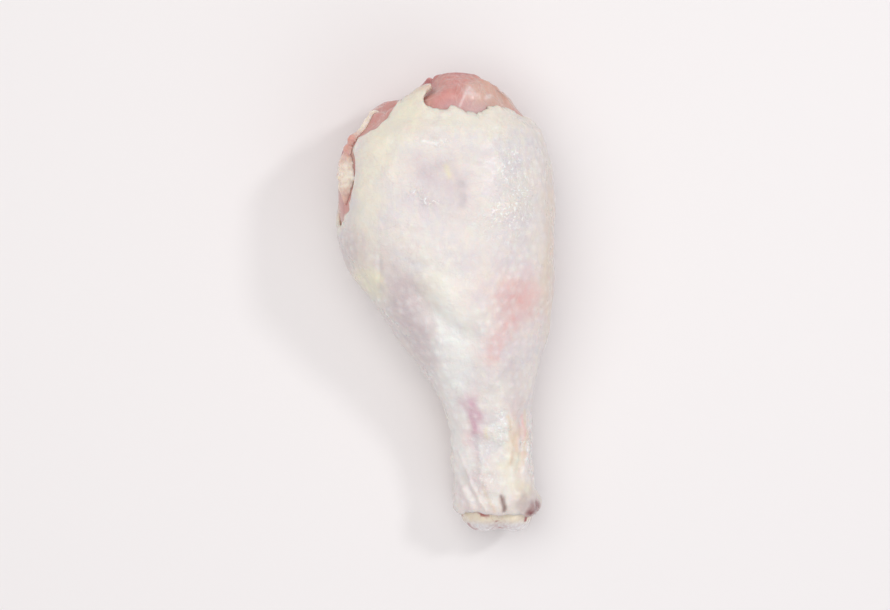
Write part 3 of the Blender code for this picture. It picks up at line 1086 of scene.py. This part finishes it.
SKIN_PATCHES = Palette(
    patches={
        Tone.LILAC: (
            (-1.6, 29.5, 8, 7, 0, 0.45), (-5, 35, 3, 5, 0, 0.35), (3.6, 30, 2.6, 2, 0, 0.5),
            (-22.5, 13, 5, 4.2, 0, 0.7), (-9.5, 1, 10, 5.2, 32, 0.85), (-5.5, -10.5, 7, 3.2, 30, 0.7),
            (17.5, -22, 9, 2.6, 6, 0.4),
        ),
        # The first grey spot is painted shade of a small dimple.
        Tone.GREY: (
            (4.3, 26.2, 1.8, 1.5, 20, 0.8), (3.8, 30.6, 0.9, 1.4, 0, 0.7), (-2, 34.5, 1.2, 3.4, 0, 0.4),
        ),
        Tone.CREAM: (
            (-15.6, 41.5, 8, 4.6, 0, 0.75), (-8.5, 49, 5, 4.6, -35, 0.8), (-7, 54, 3.4, 2.4, -35, 0.7),
            (8, 46.5, 3.5, 11, 0, 0.5), (-19.6, 27, 12, 3, 0, 0.55), (-19.4, 6, 5, 3.2, 25, 1),
            (-1, 3, 8, 4, 25, 0.5), (16.4, -38.5, 6, 2.3, 0, 0.7),
        ),
        # The long tan strip at x 27 is painted shade along the right outline.
        Tone.TAN: ((-5.4, 55.8, 2.8, 1.9, -35, 0.85), (27, 14, 26, 2, 0, 0.6)),
        # The three whitish patches on the shank, at y -31 and lower, are painted highlight and glints.
        Tone.CHALK_AND_GLINT: (
            (2, -12, 16, 4.4, 8, 0.9), (3.4, -38, 12, 2.4, 6, 0.7), (14.6, -31, 2.6, 2.4, 0, 0.6),
            (22, -38, 3, 0.9, 0, 0.6),
        ),
        Tone.BLUSH: (
            (18.5, 2, 6.5, 6.8, 0, 0.55), (18.8, 1, 2.4, 2.2, 0, 0.65), (15, -6, 4.5, 2.2, -35, 0.55),
            (12.3, -12.2, 2.6, 2.2, -20, 0.5), (6.7, -44, 9, 3.6, 8, 0.2), (18.6, -34.8, 6, 1.3, 4, 0.55),
        ),
        Tone.PLUM: ((7.4, -29.4, 3.8, 1.1, 6, 0.8), (7.2, -29, 6.4, 2.4, 6, 0.35)),
        Tone.YELLOW: (
            (10.6, -32.6, 1.2, 0.8, 0, 0.5), (18.4, -36, 5, 1.2, 4, 0.35),
            (19.8, -47.6, 2.4, 2.8, 0, 0.35),
        ),
        Tone.SHADE: ((20.2, -50.6, 2.6, 1.6, -40, 0.3), (15, -52.2, 1.3, 0.5, 0, 0.6)),
        Tone.BLOOD_AND_SHADE: ((23.6, -53.2, 2.6, 1.8, -25, 1),),
        Tone.WET: (
            (16.5, 36, 4, 3, 0, 0.8), (18, 26.5, 7, 4, -10, 1), (12.5, 22, 4, 3, 0, 0.8),
            (-5, 26.8, 1, 4, -20, 0.8), (-2, 41, 0.8, 2.6, 0, 0.6), (14.4, -31, 4, 2, 0, 1),
            (21.5, -37, 4.5, 1.2, 0, 0.9), (10, -42, 9, 3, 6, 0.5),
        ),
    },
    streaks={
        Tone.SHADE: ((((14.8, -49.6), (15.2, -53.2)), 0.4, 0.95),),
        Tone.LILAC: (
            (((3.2, -46), (6, -53)), 0.45, 0.6), (((0.5, -8), (2.6, -22), (4.4, -30)), 0.5, 0.3),
        ),
        Tone.TAN: (
            (((9.6, -47), (12.6, -53)), 0.6, 0.6), (((16.4, -29), (17.4, -36), (16.6, -41)), 0.5, 0.8),
            (((20.6, -27), (21, -33), (20.2, -41)), 0.4, 0.7),
        ),
        # Painted highlights: the whitish lines along the shank's folds and along the small fold at the top.
        Tone.CHALK_AND_GLINT: (
            (((5.6, -38), (6.8, -42)), 0.7, 0.7), (((9.4, -36.6), (9.9, -42.6)), 0.8, 0.7),
            (((-5.6, 41), (-2, 40.6)), 0.3, 0.8),
        ),
        Tone.YELLOW: ((((0.3, 34.6), (0.9, 32.4)), 0.75, 0.75),),
        Tone.CREAM: ((((17.6, -30), (18.8, -37), (18.4, -43)), 0.5, 0.6),),
        Tone.BLUSH: ((((20, -28), (20.8, -36)), 0.45, 0.7),),
    },
    under=((Tone.CREAM, 81, 0.5), (Tone.LILAC, 83, 0.45), (Tone.BLUSH, 87, 0.3)),
)

FLESH_PATCHES = Palette(
    patches={
        Tone.BLUSH: (
            (0.5, 54.5, 5, 4.6, 0, 0.45), (-16, 49.5, 6, 2.6, -38, 0.8), (-21, 43, 3, 2.2, -38, 0.6),
            (-25.8, 25.5, 3, 2.2, 0, 0.6),
        ),
        Tone.CREAM: (
            (11.5, 55, 4.5, 7.5, 35, 0.75), (15.5, 51.5, 3, 5, 40, 0.7), (8, 54.6, 1.6, 3.2, 0, 0.5),
            (-24, 42.5, 3, 2.4, 0, 0.6),
        ),
        # The third lilac patch, like the shade patch beside it, is painted shade under the lifted flap.
        Tone.LILAC: (
            (8.2, 50.2, 1.9, 3.4, 0, 0.95), (1.5, 50.2, 1.6, 2.6, 0, 0.5), (-6.8, 56, 2.2, 2.6, 50, 0.7),
        ),
        Tone.CHALK_AND_GLINT: ((6.6, 53.4, 1.5, 2, 0, 0.5), (11, 52.4, 0.7, 0.8, 0, 0.6)),
        Tone.SHADE: ((-7.2, 56.2, 1.5, 2.2, 50, 0.75),),
        # The long dark red patch at x -27.4 is painted shadow along the muscle's left outline.
        Tone.BLOOD_AND_SHADE: ((-22.8, 41.6, 1.6, 1.2, 0, 0.5), (-27.4, 38, 7, 1.5, 0, 0.9)),
    },
    streaks={
        Tone.CHALK_AND_GLINT: (
            (((3.6, 49.8), (4.4, 51.4), (4.9, 53), (6.3, 55)), 0.36, 0.75),
            (((4.9, 53), (7, 53.6), (8.6, 53.1)), 0.55, 0.4),
        ),
        Tone.YELLOW: ((((14.8, 54.8), (19.4, 50.6)), 0.5, 0.4),),
        Tone.SHADE: (
            (((13.5, 55.4), (17, 52.8), (20, 49.8)), 0.35, 0.4),
            (((-25.4, 30), (-26.2, 25.6), (-26, 23)), 0.35, 0.6),
        ),
        Tone.CREAM: ((((-18.8, 48.6), (-21.6, 44.4)), 0.5, 0.5),),
    },
    under=((Tone.CREAM, 71, 0.45), (Tone.BLUSH, 73, 0.5), (Tone.LILAC, 77, 0.35)),
    warp_reach=0.35,
)


@dataclass
class SkinSleeve:
    """The skin: a thin sleeve from its cut edge at the knee to that at the ankle."""

    leg: LegForm
    edges: CutEdges
    thickness: float = 0.0011
    edge_thickness: float = 0.00055
    columns: int = 340
    rows: int = 226
    inner_rows: int = 48
    crowding: float = 0.5
    crowded_side: float = 125.0
    follicles: Follicles = Follicles()
    pucker: Ripple = Ripple(11, 0.0022, 0.0050, (1.5, 1.0, 1.0))
    drape: Ripple = Ripple(17, 0.006, 0.013, (1.4, 1.0, 1.0))
    frill: Ripple = Ripple(23, 0.003, 0.007)
    unevenness: Ripple = Ripple(29, 0.01, 0.03)
    folds: tuple[Fold, ...] = (
        Fold(((-16.6, 12.0), (-16.5, 3.0)), 0.7, -0.35),
        Fold(((-5.5, 41.2), (-2.4, 40.6)), 0.5, 0.25),
        Fold(((2.0, -34.0), (3.2, -44.0), (7.5, -53.0)), 0.7, 0.35),
        Fold(((4.0, -38.0), (7.0, -47.0), (10.5, -53.0)), 0.5, 0.30),
        Fold(((16.8, -28.0), (17.4, -34.0), (16.6, -41.0)), 0.7, 0.35),
        Fold(((19.4, -29.0), (19.8, -35.0), (19.2, -42.0)), 0.6, -0.40),
        Fold(((15.0, -50.0), (15.1, -53.5)), 0.4, -0.60),
    )
    flap: tuple[Pair, ...] = ((-4.0, 57.4), (-6.2, 53.6))
    flap_lift: float = 0.0011
    flap_reach: float = 2.4
    mound_rise: float = 0.00024
    # On the thick end, and how much more on the shank.
    pucker_rise: Pair = (0.00004, 0.00005)
    drape_rise: Pair = (0.00012, 0.00012)
    frill_rise: float = 0.00028
    frill_reach: float = 0.0025
    lip_reach: float = 0.0009
    edge_fat_reach: float = 0.0016
    fade_power: int = 34

    def lift(self, points: Array) -> Array:
        """How far the loose flap at the knee stands off the muscle: a bell round its middle line."""
        distance = distance_to_path(points[..., :2] / MM, np.array(self.flap))
        return self.flap_lift * bell(distance, self.flap_reach) * smooth_step(points[..., 2] / 0.02)

    def column_angles(self) -> Array:
        """Angles of the columns, closer together where the edge is most ragged."""
        even = np.arange(self.columns) * 360 / self.columns
        return even - self.crowding * np.degrees(np.sin(np.radians(even - self.crowded_side)))

    def lines(self, share: Array) -> tuple[Array, Array]:
        """Station and angle of the grid, from the knee edge at share 0 to the ankle's at 1.

        along = mean start + (ankle edge - mean start) * share, plus what the knee edge is off
        that mean times (1 - share) squared; the angle goes over from the edge's own to the
        column's with (1 - share) to a high power, so that columns don't cross at the flap.

        Args:
            share: How far down each row of the grid is.

        Returns:
            The stations and the angles.
        """
        column = self.column_angles()
        edge_angle, edge_along = self.edges.knee(column)
        start = edge_along.mean()
        along = start + (self.edges.ankle(column) - start) * share + (edge_along - start) * (1 - share) ** 2
        return self.leg.station_of(along), column + (edge_angle - column) * (1 - share) ** self.fade_power

    def crease(self, points: Array, normals: Array) -> Array:
        """Height of the folds and creases: a bell of the distance from each line.

        Args:
            points: Places on the surface.
            normals: Unit normals there.

        Returns:
            The height at each place, nought where the surface faces down.
        """
        upward = smooth_step((normals[..., 2] + 0.2) / 0.4)
        height = np.zeros(points.shape[:-1])
        for fold in self.folds:
            distance = distance_to_path(points[..., :2] / MM, np.array(fold.path))
            height += fold.rise * MM * bell(distance, fold.breadth) * upward
        return height

    def build(self) -> Piece:
        """Makes the sleeve: rings down its outside, then back up its inside, joined at both edges.

        The outside is the leg's surface raised by goose bumps, puckers and folds. Towards the
        edges the wall thins and its lip waves.

        Returns:
            The skin's object.
        """
        share = np.linspace(0, 1, self.rows)[:, None]
        station, angle = self.lines(share)
        surface, normal = self.leg.laid(station, angle, np.zeros(station.shape))
        start = surface[:1]
        from_knee = np.linalg.norm(np.diff(surface, axis=0, prepend=start), axis=-1).cumsum(axis=0)
        from_ankle = from_knee[-1:] - from_knee
        from_edge = np.minimum(from_knee, from_ankle)
        mounds = self.follicles.mounds(self.leg, surface)
        strength = self.bump_strength(surface, normal)
        shank = smooth_step((-0.018 - surface[..., 1]) / 0.02)
        rise = (
            self.mound_rise * strength * mounds
            + (self.pucker_rise[0] + self.pucker_rise[1] * shank) * self.pucker.at(surface)
            + (self.drape_rise[0] + self.drape_rise[1] * shank) * self.drape.at(surface)
            + self.crease(surface, normal)
            + self.frill_rise * self.frill.at(surface) * bell(from_knee, self.frill_reach)
            - (self.thickness - self.edge_thickness) * bell(from_edge, self.lip_reach)
            + self.lift(surface)
        )
        outside = surface + normal * rise[..., None]
        outside[..., 2] = np.maximum(outside[..., 2], FLOOR_GAP)
        inner_station, inner_angle = self.lines(np.linspace(0, 1, self.inner_rows)[:, None])
        inner_surface = self.leg.surface(inner_station, inner_angle)
        wall = self.thickness - self.lift(inner_surface)
        inside, inner_normal = self.leg.laid(inner_station, inner_angle, wall)
        points = np.concatenate([outside, inside[::-1]])
        masks = SKIN_PATCHES.masks(points, np.concatenate([normal, inner_normal[::-1]]))
        flat = np.zeros((self.inner_rows, self.columns))
        cream = np.concatenate([0.7 * bell(from_knee, self.edge_fat_reach), flat + 0.9])
        masks[Tone.CREAM.value] = np.maximum(masks[Tone.CREAM.value], cream)
        # Where the goose bumps stand, read by the skin for their painted highlight.
        masks["follicle"] = np.concatenate([np.clip(mounds * strength, 0, 1), flat])
        return loft("skin_sleeve", points, End.ROUND, masks)

    def bump_strength(self, points: Array, normals: Array) -> Array:
        """How strong the goose bumps are: weak where the skin is stretched over the thick end's
        top, stronger towards the flanks, the underside and the calf.

        Args:
            points: Places on the surface.
            normals: Unit normals there.

        Returns:
            The strength at each place.
        """
        x, y = points[..., 0], points[..., 1]
        top = smooth_step((normals[..., 2] - 0.3) / 0.5) * smooth_step((y + 0.005) / 0.03)
        side = smooth_step((x - 0.006) / 0.014)
        base = 1 - 0.75 * top * (1 - 0.6 * side)
        return base * (0.66 + 0.22 * self.unevenness.at(points))


@dataclass
class LegBone:
    """The shin bone: a flat-topped head at the knee, a shaft, and two knobs at the ankle."""

    leg: LegForm
    # Place along, half breadth and half height in metres.
    profile: Rows = (
        (0.0250, 0.0, 0.0), (0.0250, 0.0028, 0.0023), (0.0262, 0.0056, 0.0047), (0.0310, 0.0074, 0.0064),
        (0.0420, 0.0081, 0.0071), (0.075, 0.0081, 0.0071), (0.135, 0.0062, 0.0055),
        (0.230, 0.0043, 0.0040), (0.430, 0.0036, 0.0034), (0.650, 0.0036, 0.0034),
        (0.790, 0.0042, 0.0040), (0.862, 0.0058, 0.0056), (0.903, 0.0086, 0.0084),
        (0.935, 0.0096, 0.0094), (0.962, 0.0091, 0.0089), (0.982, 0.0078, 0.0075),
        (0.995, 0.0052, 0.0049), (1.000, 0.0, 0.0),
    )
    # Where its centre line is at either end: x in metres, and height as a share of the leg's.
    knee: Pair = (0.0030, 0.46)
    ankle: Pair = (0.0142, 0.270)
    start: float = 0.026
    notch: float = 0.0016
    knob_rise: float = 0.0013
    cup_depth: float = 0.0010
    dent_depth: float = 0.0008
    lump_rise: float = 0.00012
    lumps: Ripple = Ripple(41, 0.003, 0.008)
    spots: Ripple = Ripple(43, 0.002, 0.005)
    clots: Ripple = Ripple(47, 0.0012, 0.003)
    columns: int = 96
    rows: int = 150

    def middle(self, along: Array) -> Array:
        """Points of the centre line, straight from the knee to the ankle.

        Args:
            along: Places along the leg.

        Returns:
            The points.
        """
        share = (along - self.start) / (1 - self.start)
        x = self.knee[0] + (self.ankle[0] - self.knee[0]) * share
        z = (self.knee[1] + (self.ankle[1] - self.knee[1]) * share) * self.leg.height
        return np.stack([x, (0.5 - along) * self.leg.length, z], axis=-1) + np.array(self.leg.shift)

    def rings(self, place: Array, angle: Array, grow: float) -> Array:
        """Points of the bone grown outwards by grow.

        A ring is an ellipse of the profile. Near the ankle a bell-shaped notch across the top
        and bottom, and over the end, parts two knobs. The knee's head has two shallow cups, a
        low ridge between them and a dent in its front edge.

        Args:
            place: Row numbers of the profile.
            angle: Angles round the bone in degrees.
            grow: How far outwards, in metres.

        Returns:
            The points.
        """
        read = smooth_table(self.profile, odd=(False, True, True))(place)
        along, half_x, half_z = np.moveaxis(read, -1, 0)
        across, upward = np.cos(np.radians(angle)), np.sin(np.radians(angle))
        near = smooth_step((along - 0.90) / 0.06)
        x = across * (half_x + grow)
        parted = near * bell(x, 0.0030)
        z = upward * (half_z + grow - self.notch * parted * np.clip(half_z / 0.009, 0, 1))
        y = self.knob_rise * parted * smooth_step((along - 0.955) / 0.04)
        at_knee = 1 - smooth_step((along - self.start) / 0.006)
        cups = self.cup_depth * bell(np.abs(x) - 0.0036, 0.0019) * bell(z, 0.0034)
        dent = self.dent_depth * bell(x, 0.0016) * bell(z - 0.0052, 0.0016)
        y = y - at_knee * (cups + dent)
        return self.middle(along) + np.stack([x, y, z], axis=-1)

    def build(self) -> Piece:
        """Makes the bone, with blood in the notch and cream at the knobs' roots.

        Returns:
            The bone's object.
        """
        last = len(self.profile) - 1
        place = np.linspace(0.06, last - 0.06, self.rows)[:, None] + np.zeros(self.columns)
        angle = np.arange(self.columns) * 360 / self.columns + 0 * place
        points = self.rings(place, angle, 0.0)
        away = points - self.middle(0.5 - points[..., 1] / self.leg.length)
        outward = away / np.linalg.norm(away, axis=-1, keepdims=True).clip(1e-6)
        points = points + outward * (self.lump_rise * self.lumps.at(points))[..., None]
        y = points[..., 1]
        spots, clots = self.spots.at(points), self.clots.at(points)
        head = smooth_step((np.hypot(away[..., 0] / 0.0073, away[..., 2] / 0.0059) - 0.78) / 0.2)
        head = head * smooth_step((y - 0.055) / 0.001)
        blood = 0.8 * smooth_step((spots - 0.75) / 0.8) * smooth_step((-0.05 - y) / 0.004)
        cream = 0.7 * smooth_step((y + 0.0575) / 0.002) * smooth_step((-0.03 - y) / 0.01)
        masks = {
            "blood": blood + 0.85 * smooth_step((clots + 0.2) / 0.9) * head,
            "cream": cream + 0.5 * smooth_step((spots + 0.9) / 0.9) * head,
            "chalk_and_glint": 0.5 * smooth_step((y + 0.01) / 0.01) * smooth_step((0.05 - y) / 0.01),
        }
        return loft("shin_bone", points, End.POLES, masks)


@dataclass
class Muscle:
    """The muscle: bare at the knee end, under the skin below it, with the bone's channel through."""

    leg: LegForm
    edges: CutEdges
    bone: LegBone
    columns: int = 300
    bare_rows: int = 160
    covered_rows: int = 34
    channel_rows: int = 24
    # The bone's profile rows between which the channel follows it, and the gap left round it.
    channel: Pair = (13.0, 3.0)
    channel_gap: float = 0.0003
    lip: float = 0.0006
    hole: Pair = (0.0067, 0.0057)
    bare_end: float = 0.38
    end: float = 0.865
    under_skin: float = 0.0014
    flank_drop: float = 0.0013
    strands: Ripple = Ripple(51, 0.0016, 0.004, (1.0, 5.0, 1.0))
    lobes: Ripple = Ripple(53, 0.006, 0.014)
    # Middle seen from above and reach in millimetres, and height in millimetres.
    bulges: Rows = (
        (8.2, 50.6, 2.6, 0.5),
        (3.0, 51.0, 3.6, 0.3),
        (-17.5, 48.0, 3.0, 0.7),
        (-25.0, 40.0, 3.4, 0.4),
    )
    cleft: tuple[float, ...] = (-10.6, 55.2, 3.4, -1.5)
    strand_rise: float = 0.00010
    lobe_rise: float = 0.00026
    seam_depth: float = 0.0005
    seam_breadth: float = 3.2
    rim_sink: float = 0.0009

    def depth(self, along: Array, angle: Array, points: Array) -> Array:
        """How deep the muscle lies: under the skin, or less the further it is ahead of the edge.

        A place is under the skin where a line from the knee to it crosses the edge an odd
        number of times.

        Args:
            along: Places along the leg.
            angle: Angles round it in degrees.
            points: The points of the leg's surface there.

        Returns:
            The depth at each place.
        """
        edge_angle, edge_along = self.edges.knee(np.linspace(-4, 364, 737))
        line = self.leg.surface(self.leg.station_of(edge_along), edge_angle)
        distance = distance_to_path(points, line)
        ahead = np.ones(angle.shape, bool)
        for a0, a1, l0, l1 in zip(edge_angle[:-1], edge_angle[1:], edge_along[:-1], edge_along[1:]):
            spans = (a0 <= angle) != (a1 <= angle)
            crossing = l0 + (l1 - l0) * (angle - a0) / ((a1 - a0) or 1.0)
            ahead ^= spans & (crossing < along)
        flank = self.flank_drop * smooth_step((along - 0.02) / 0.06)
        bare = flank + (self.under_skin - flank - 0.0001) * bell(distance, 0.0026)
        return np.where(ahead, bare, self.under_skin)

    def rim(self, angles: Array) -> tuple[Array, Array]:
        """Where the dome at the knee meets the bone's hole, an ellipse round the bone's middle.

        Along each column it is the first place whose x and z lie outside that ellipse.

        Args:
            angles: The columns' angles in degrees.

        Returns:
            The rim's station at each column, and its own angle round the bone.
        """
        stations = np.linspace(0, self.leg.station_of(np.array(0.08)), 400)
        middle = self.bone.middle(np.array(self.bone.start))
        away = self.leg.surface(stations[:, None], angles[None, :]) - middle
        across, upward = away[..., 0] / self.hole[0], away[..., 2] / self.hole[1]
        size = np.hypot(across, upward)
        first = np.clip(np.argmax(size >= 1, axis=0), 1, None)
        column = np.arange(len(angles))
        before, after = size[first - 1, column], size[first, column]
        share = (1 - before) / (after - before)
        station = stations[first - 1] + (stations[first] - stations[first - 1]) * share
        return station, np.degrees(np.arctan2(upward[first, column], across[first, column]))

    @staticmethod
    def mound(points: Array, x: float, y: float, reach: float, height: float) -> Array:
        """A bell seen from above, in metres: its middle, reach and height are in millimetres."""
        gap = np.hypot(points[..., 0] / MM - x, points[..., 1] / MM - y)
        return height * MM * bell(gap, reach)

    def build(self) -> Piece:
        """Makes the muscle: rings up the bone's channel to the rim at the knee, then down outside.

        The rim is rounded off by sinking it along the leg with a bell of the distance from it.

        Returns:
            The muscle's object.
        """
        angles = np.arange(self.columns) * 360 / self.columns
        rim, rim_angle = self.rim(angles)
        share = np.linspace(0, 1, self.bare_rows)[:, None] ** 1.25
        bare_end, end = self.leg.station_of(np.array([self.bare_end, self.end]))
        bare_rows = rim + (bare_end - rim) * share
        covered_rows = np.linspace(bare_end, end, self.covered_rows + 1)[1:, None] + 0 * angles
        station = np.concatenate([bare_rows, covered_rows])
        angle = np.broadcast_to(angles, station.shape)
        along = self.leg.at(station)[..., 0]
        depth = self.depth(along, angle, self.leg.surface(station, angle))
        points, normal = self.leg.laid(station, angle, depth)
        bare = smooth_step((self.under_skin - 0.0002 - depth) / 0.0006)
        off_rim = np.linalg.norm(points - points[:1], axis=-1)
        rise = (self.strand_rise * self.strands.at(points) + self.lobe_rise * self.lobes.at(points)) * bare
        seams = sum(bell(angle_gap(groove, angle), self.seam_breadth) for groove in self.leg.grooves)
        seams = np.clip(seams, 0, 1) * (1 - smooth_step((along - 0.05) / 0.06))
        rise = rise - self.seam_depth * seams * smooth_step(off_rim / 0.003)
        for bulge in self.bulges:
            rise += self.mound(points, *bulge) * bare * smooth_step((normal[..., 2] + 0.3) / 0.4)
        rise = (rise + self.mound(points, *self.cleft)) * smooth_step(off_rim / 0.0012)
        points = points + normal * rise[..., None]
        points[..., 1] -= self.rim_sink * bell(off_rim, self.rim_sink)
        points[..., 2] = np.maximum(points[..., 2], FLOOR_GAP)
        masks = FLESH_PATCHES.masks(points, normal)
        fringe = bell(off_rim, 0.0016)
        chalk_and_glint, blood = masks[Tone.CHALK_AND_GLINT.value], masks[Tone.BLOOD_AND_SHADE.value]
        masks[Tone.CHALK_AND_GLINT.value] = np.maximum(chalk_and_glint, np.maximum(0.8 * fringe, 0.5 * seams))
        masks[Tone.BLOOD_AND_SHADE.value] = np.maximum(blood, 0.6 * bell(off_rim - 0.0026, 0.0012))
        down, up = self.channel
        place = np.linspace(down, up, self.channel_rows)[:, None] + 0 * angles
        swing = np.linspace(0, 1, self.channel_rows)[:, None]
        around = angles + angle_gap(rim_angle, angles) * swing
        channel = self.bone.rings(place, around, self.channel_gap)
        lip = points[:1].copy()
        lip[..., 1] -= self.lip
        blank = np.zeros((self.channel_rows + 1, self.columns))
        masks = {name: np.concatenate([blank, values]) for name, values in masks.items()}
        return loft("bare_muscle", np.concatenate([channel, lip, points]), End.ROUND, masks)


@dataclass
class FatStrip:
    """The fat left on the bare flank: a thin strip, some small round lumps, then a broad lobe."""

    leg: LegForm
    # Place along, middle angle, half breadth, thickness (metres), and how salmon it is.
    line: Rows = (
        (0.050, 168.0, 0.00020, 0.0003, 0.0), (0.058, 166.5, 0.00110, 0.0008, 0.0),
        (0.074, 164.5, 0.00150, 0.0011, 0.0), (0.092, 162.8, 0.00120, 0.0010, 0.0),
        (0.108, 161.8, 0.00145, 0.0012, 0.0), (0.124, 160.5, 0.00120, 0.0011, 0.1),
        (0.136, 159.0, 0.00150, 0.0012, 0.5), (0.146, 158.2, 0.00200, 0.0015, 1.0),
        (0.155, 157.8, 0.00150, 0.0010, 1.0), (0.165, 157.8, 0.00200, 0.0014, 1.0),
        (0.178, 158.2, 0.00200, 0.0012, 0.8), (0.192, 158.8, 0.00310, 0.0017, 0.4),
        (0.208, 159.0, 0.00430, 0.0021, 0.1), (0.228, 158.8, 0.00450, 0.0022, 0.0),
        (0.248, 159.0, 0.00380, 0.0020, 0.1), (0.264, 159.5, 0.00210, 0.0014, 0.5),
        (0.278, 160.5, 0.00120, 0.0009, 0.8), (0.288, 161.0, 0.00020, 0.0003, 0.9),
    )
    depth: float = 0.0013
    dents: Ripple = Ripple(61, 0.0016, 0.0042)
    dent_rise: float = 0.00017
    rows: int = 190
    columns: int = 44

    def build(self) -> Piece:
        """Makes the strip: an upper and a lower sheet that meet at thin edges.

        crown = thickness * (1 - |v|^2.2)^0.8, with v from -1 to 1 across, over a foot just
        above the muscle; waves along it shift both edges.

        Returns:
            The fat's object.
        """
        place = np.linspace(0, len(self.line) - 1, self.rows)[:, None]
        cross = np.linspace(-1, 1, self.columns + 1)[None, :]
        read = smooth_table(self.line, odd=(False,) * 5)(place)
        along, middle, half, thick, salmon = np.moveaxis(read, -1, 0)
        along = along + 0 * cross
        wander = 1 + 0.10 * np.sin(place * 3.1 + 1.6 * cross) + 0.05 * np.sin(place * 7.3 + cross)
        turn = np.degrees(np.clip(half, 0.0001, None) / (0.42 * self.leg.width))
        angle = middle + turn * wander * cross
        station = self.leg.station_of(along)
        foot = np.full(angle.shape, self.depth)
        crown = np.clip(thick, 0.0001, None) * (1 - np.abs(cross) ** 2.2) ** 0.8
        upper, normal = self.leg.laid(station, angle, foot - crown)
        dents = self.dents.at(upper) * np.clip(thick / 0.0016, 0, 1)
        upper = upper + normal * (self.dent_rise * dents * (1 - cross**2))[..., None]
        lower, _ = self.leg.laid(station, angle, foot)
        rings = np.concatenate([lower, upper[:, -2:0:-1]], axis=1)
        mask = np.clip(salmon + 0 * cross, 0, 1)
        masks = {"blush": np.concatenate([mask, mask[:, -2:0:-1]], axis=1)}
        return loft("flank_fat", rings, End.POLES, masks)


@dataclass
class Studio:
    """The floor, the soft lights and the camera that looks straight down."""

    floor_reach: float = 1.5
    floor_tint: Colour = linear(236, 233, 233)
    aim: Triple = (0.0, 0.0, 0.02)
    # Name, place, size, power and tint.
    lights: tuple[tuple, ...] = (
        ("key", (-0.16, 0.12, 0.74), (0.70, 0.70), 2.9, linear(255, 253, 248)),
        ("glint", (0.42, 0.22, 0.55), (0.08, 0.10), 0.9, linear(255, 255, 255)),
        ("fill", (0.30, -0.50, 0.60), (0.70, 0.60), 1.1, linear(250, 250, 252)),
    )
    sky_tint: Colour = linear(250, 248, 252)
    sky_strength: float = 0.50
    camera_height: float = 0.66
    lens: float = 100
    sensor: float = 36

    def floor(self) -> None:
        """Lays a wide pale floor just under the leg."""
        mesh = bpy.data.meshes.new("floor")
        r = self.floor_reach
        mesh.from_pydata([(-r, -r, 0), (r, -r, 0), (r, r, 0), (-r, r, 0)], [], [(0, 1, 2, 3)])
        plate = bpy.data.objects.new("floor", mesh)
        bpy.context.scene.collection.objects.link(plate)
        material, graph = new_material("pale floor")
        shader = graph.node("BsdfPrincipled")
        shader.inputs["Base Color"].default_value = self.floor_tint
        shader.inputs["Roughness"].default_value = 0.6
        graph.feed(graph.node("OutputMaterial").inputs["Surface"], shader.outputs["BSDF"])
        mesh.materials.append(material)

    def light(self, name: str, place: Sequence[float], size: Pair, power: float, tint: Colour) -> None:
        """Adds a rectangular light that faces the leg.

        Args:
            name: The light's name.
            place: Where its middle is.
            size: Its two sides.
            power: Its power in watts.
            tint: Its colour.
        """
        lamp = bpy.data.lights.new(name, "AREA")
        lamp.shape = "RECTANGLE"
        lamp.size, lamp.size_y = size
        lamp.energy = power
        lamp.color = tint[:3]
        held = bpy.data.objects.new(name, lamp)
        held.location = place
        direction = np.array(place) - np.array(self.aim)
        held.rotation_mode = "QUATERNION"
        held.rotation_quaternion = Vector(direction.tolist()).to_track_quat("Z", "Y")
        bpy.context.scene.collection.objects.link(held)

    def build(self) -> None:
        """Makes the floor, the lights, the sky and the camera."""
        self.floor()
        for lamp in self.lights:
            self.light(*lamp)
        world = bpy.data.worlds.new("soft sky")
        world.use_nodes = True
        sky = world.node_tree.nodes["Background"]
        sky.inputs["Color"].default_value = self.sky_tint
        sky.inputs["Strength"].default_value = self.sky_strength
        scene = bpy.context.scene
        scene.world = world
        scene.view_settings.view_transform = "Standard"
        camera = bpy.data.cameras.new("camera")
        camera.lens = self.lens
        camera.sensor_width = self.sensor
        held = bpy.data.objects.new("camera", camera)
        held.location = (0.0, 0.0, self.camera_height)
        scene.collection.objects.link(held)
        scene.camera = held


def dress(piece: Piece, material: bpy.types.Material, node: str) -> None:
    """Gives a piece its material and a place under the root body, hides the CAD node that it replaces, and
    reports it.

    Args:
        piece: The piece.
        material: Its finish.
        node: The CAD node that it replaces.
    """
    piece.data.materials.append(material)
    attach(piece, "root")
    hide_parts(node)
    LOG.info("%s: %d vertices, %d faces", piece.name, len(piece.data.vertices), len(piece.data.polygons))


def main() -> None:
    """Builds the drumstick and its studio."""
    logging.basicConfig(level=logging.INFO, format="%(name)s: %(message)s")
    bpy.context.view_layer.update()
    shared = SharedEffects()
    leg, edges = LegForm(), CutEdges()
    bone = LegBone(leg)
    flesh = MUSCLE.build(shared)
    dress(SkinSleeve(leg, edges).build(), SkinFinish().build(shared), "skin")
    dress(Muscle(leg, edges, bone).build(), flesh, "meat")
    dress(bone.build(), CARTILAGE.build(shared), "bone")
    dress(FatStrip(leg).build(), FAT.build(shared), "fat")
    Studio().build()


if __name__ == "__main__":
    main()
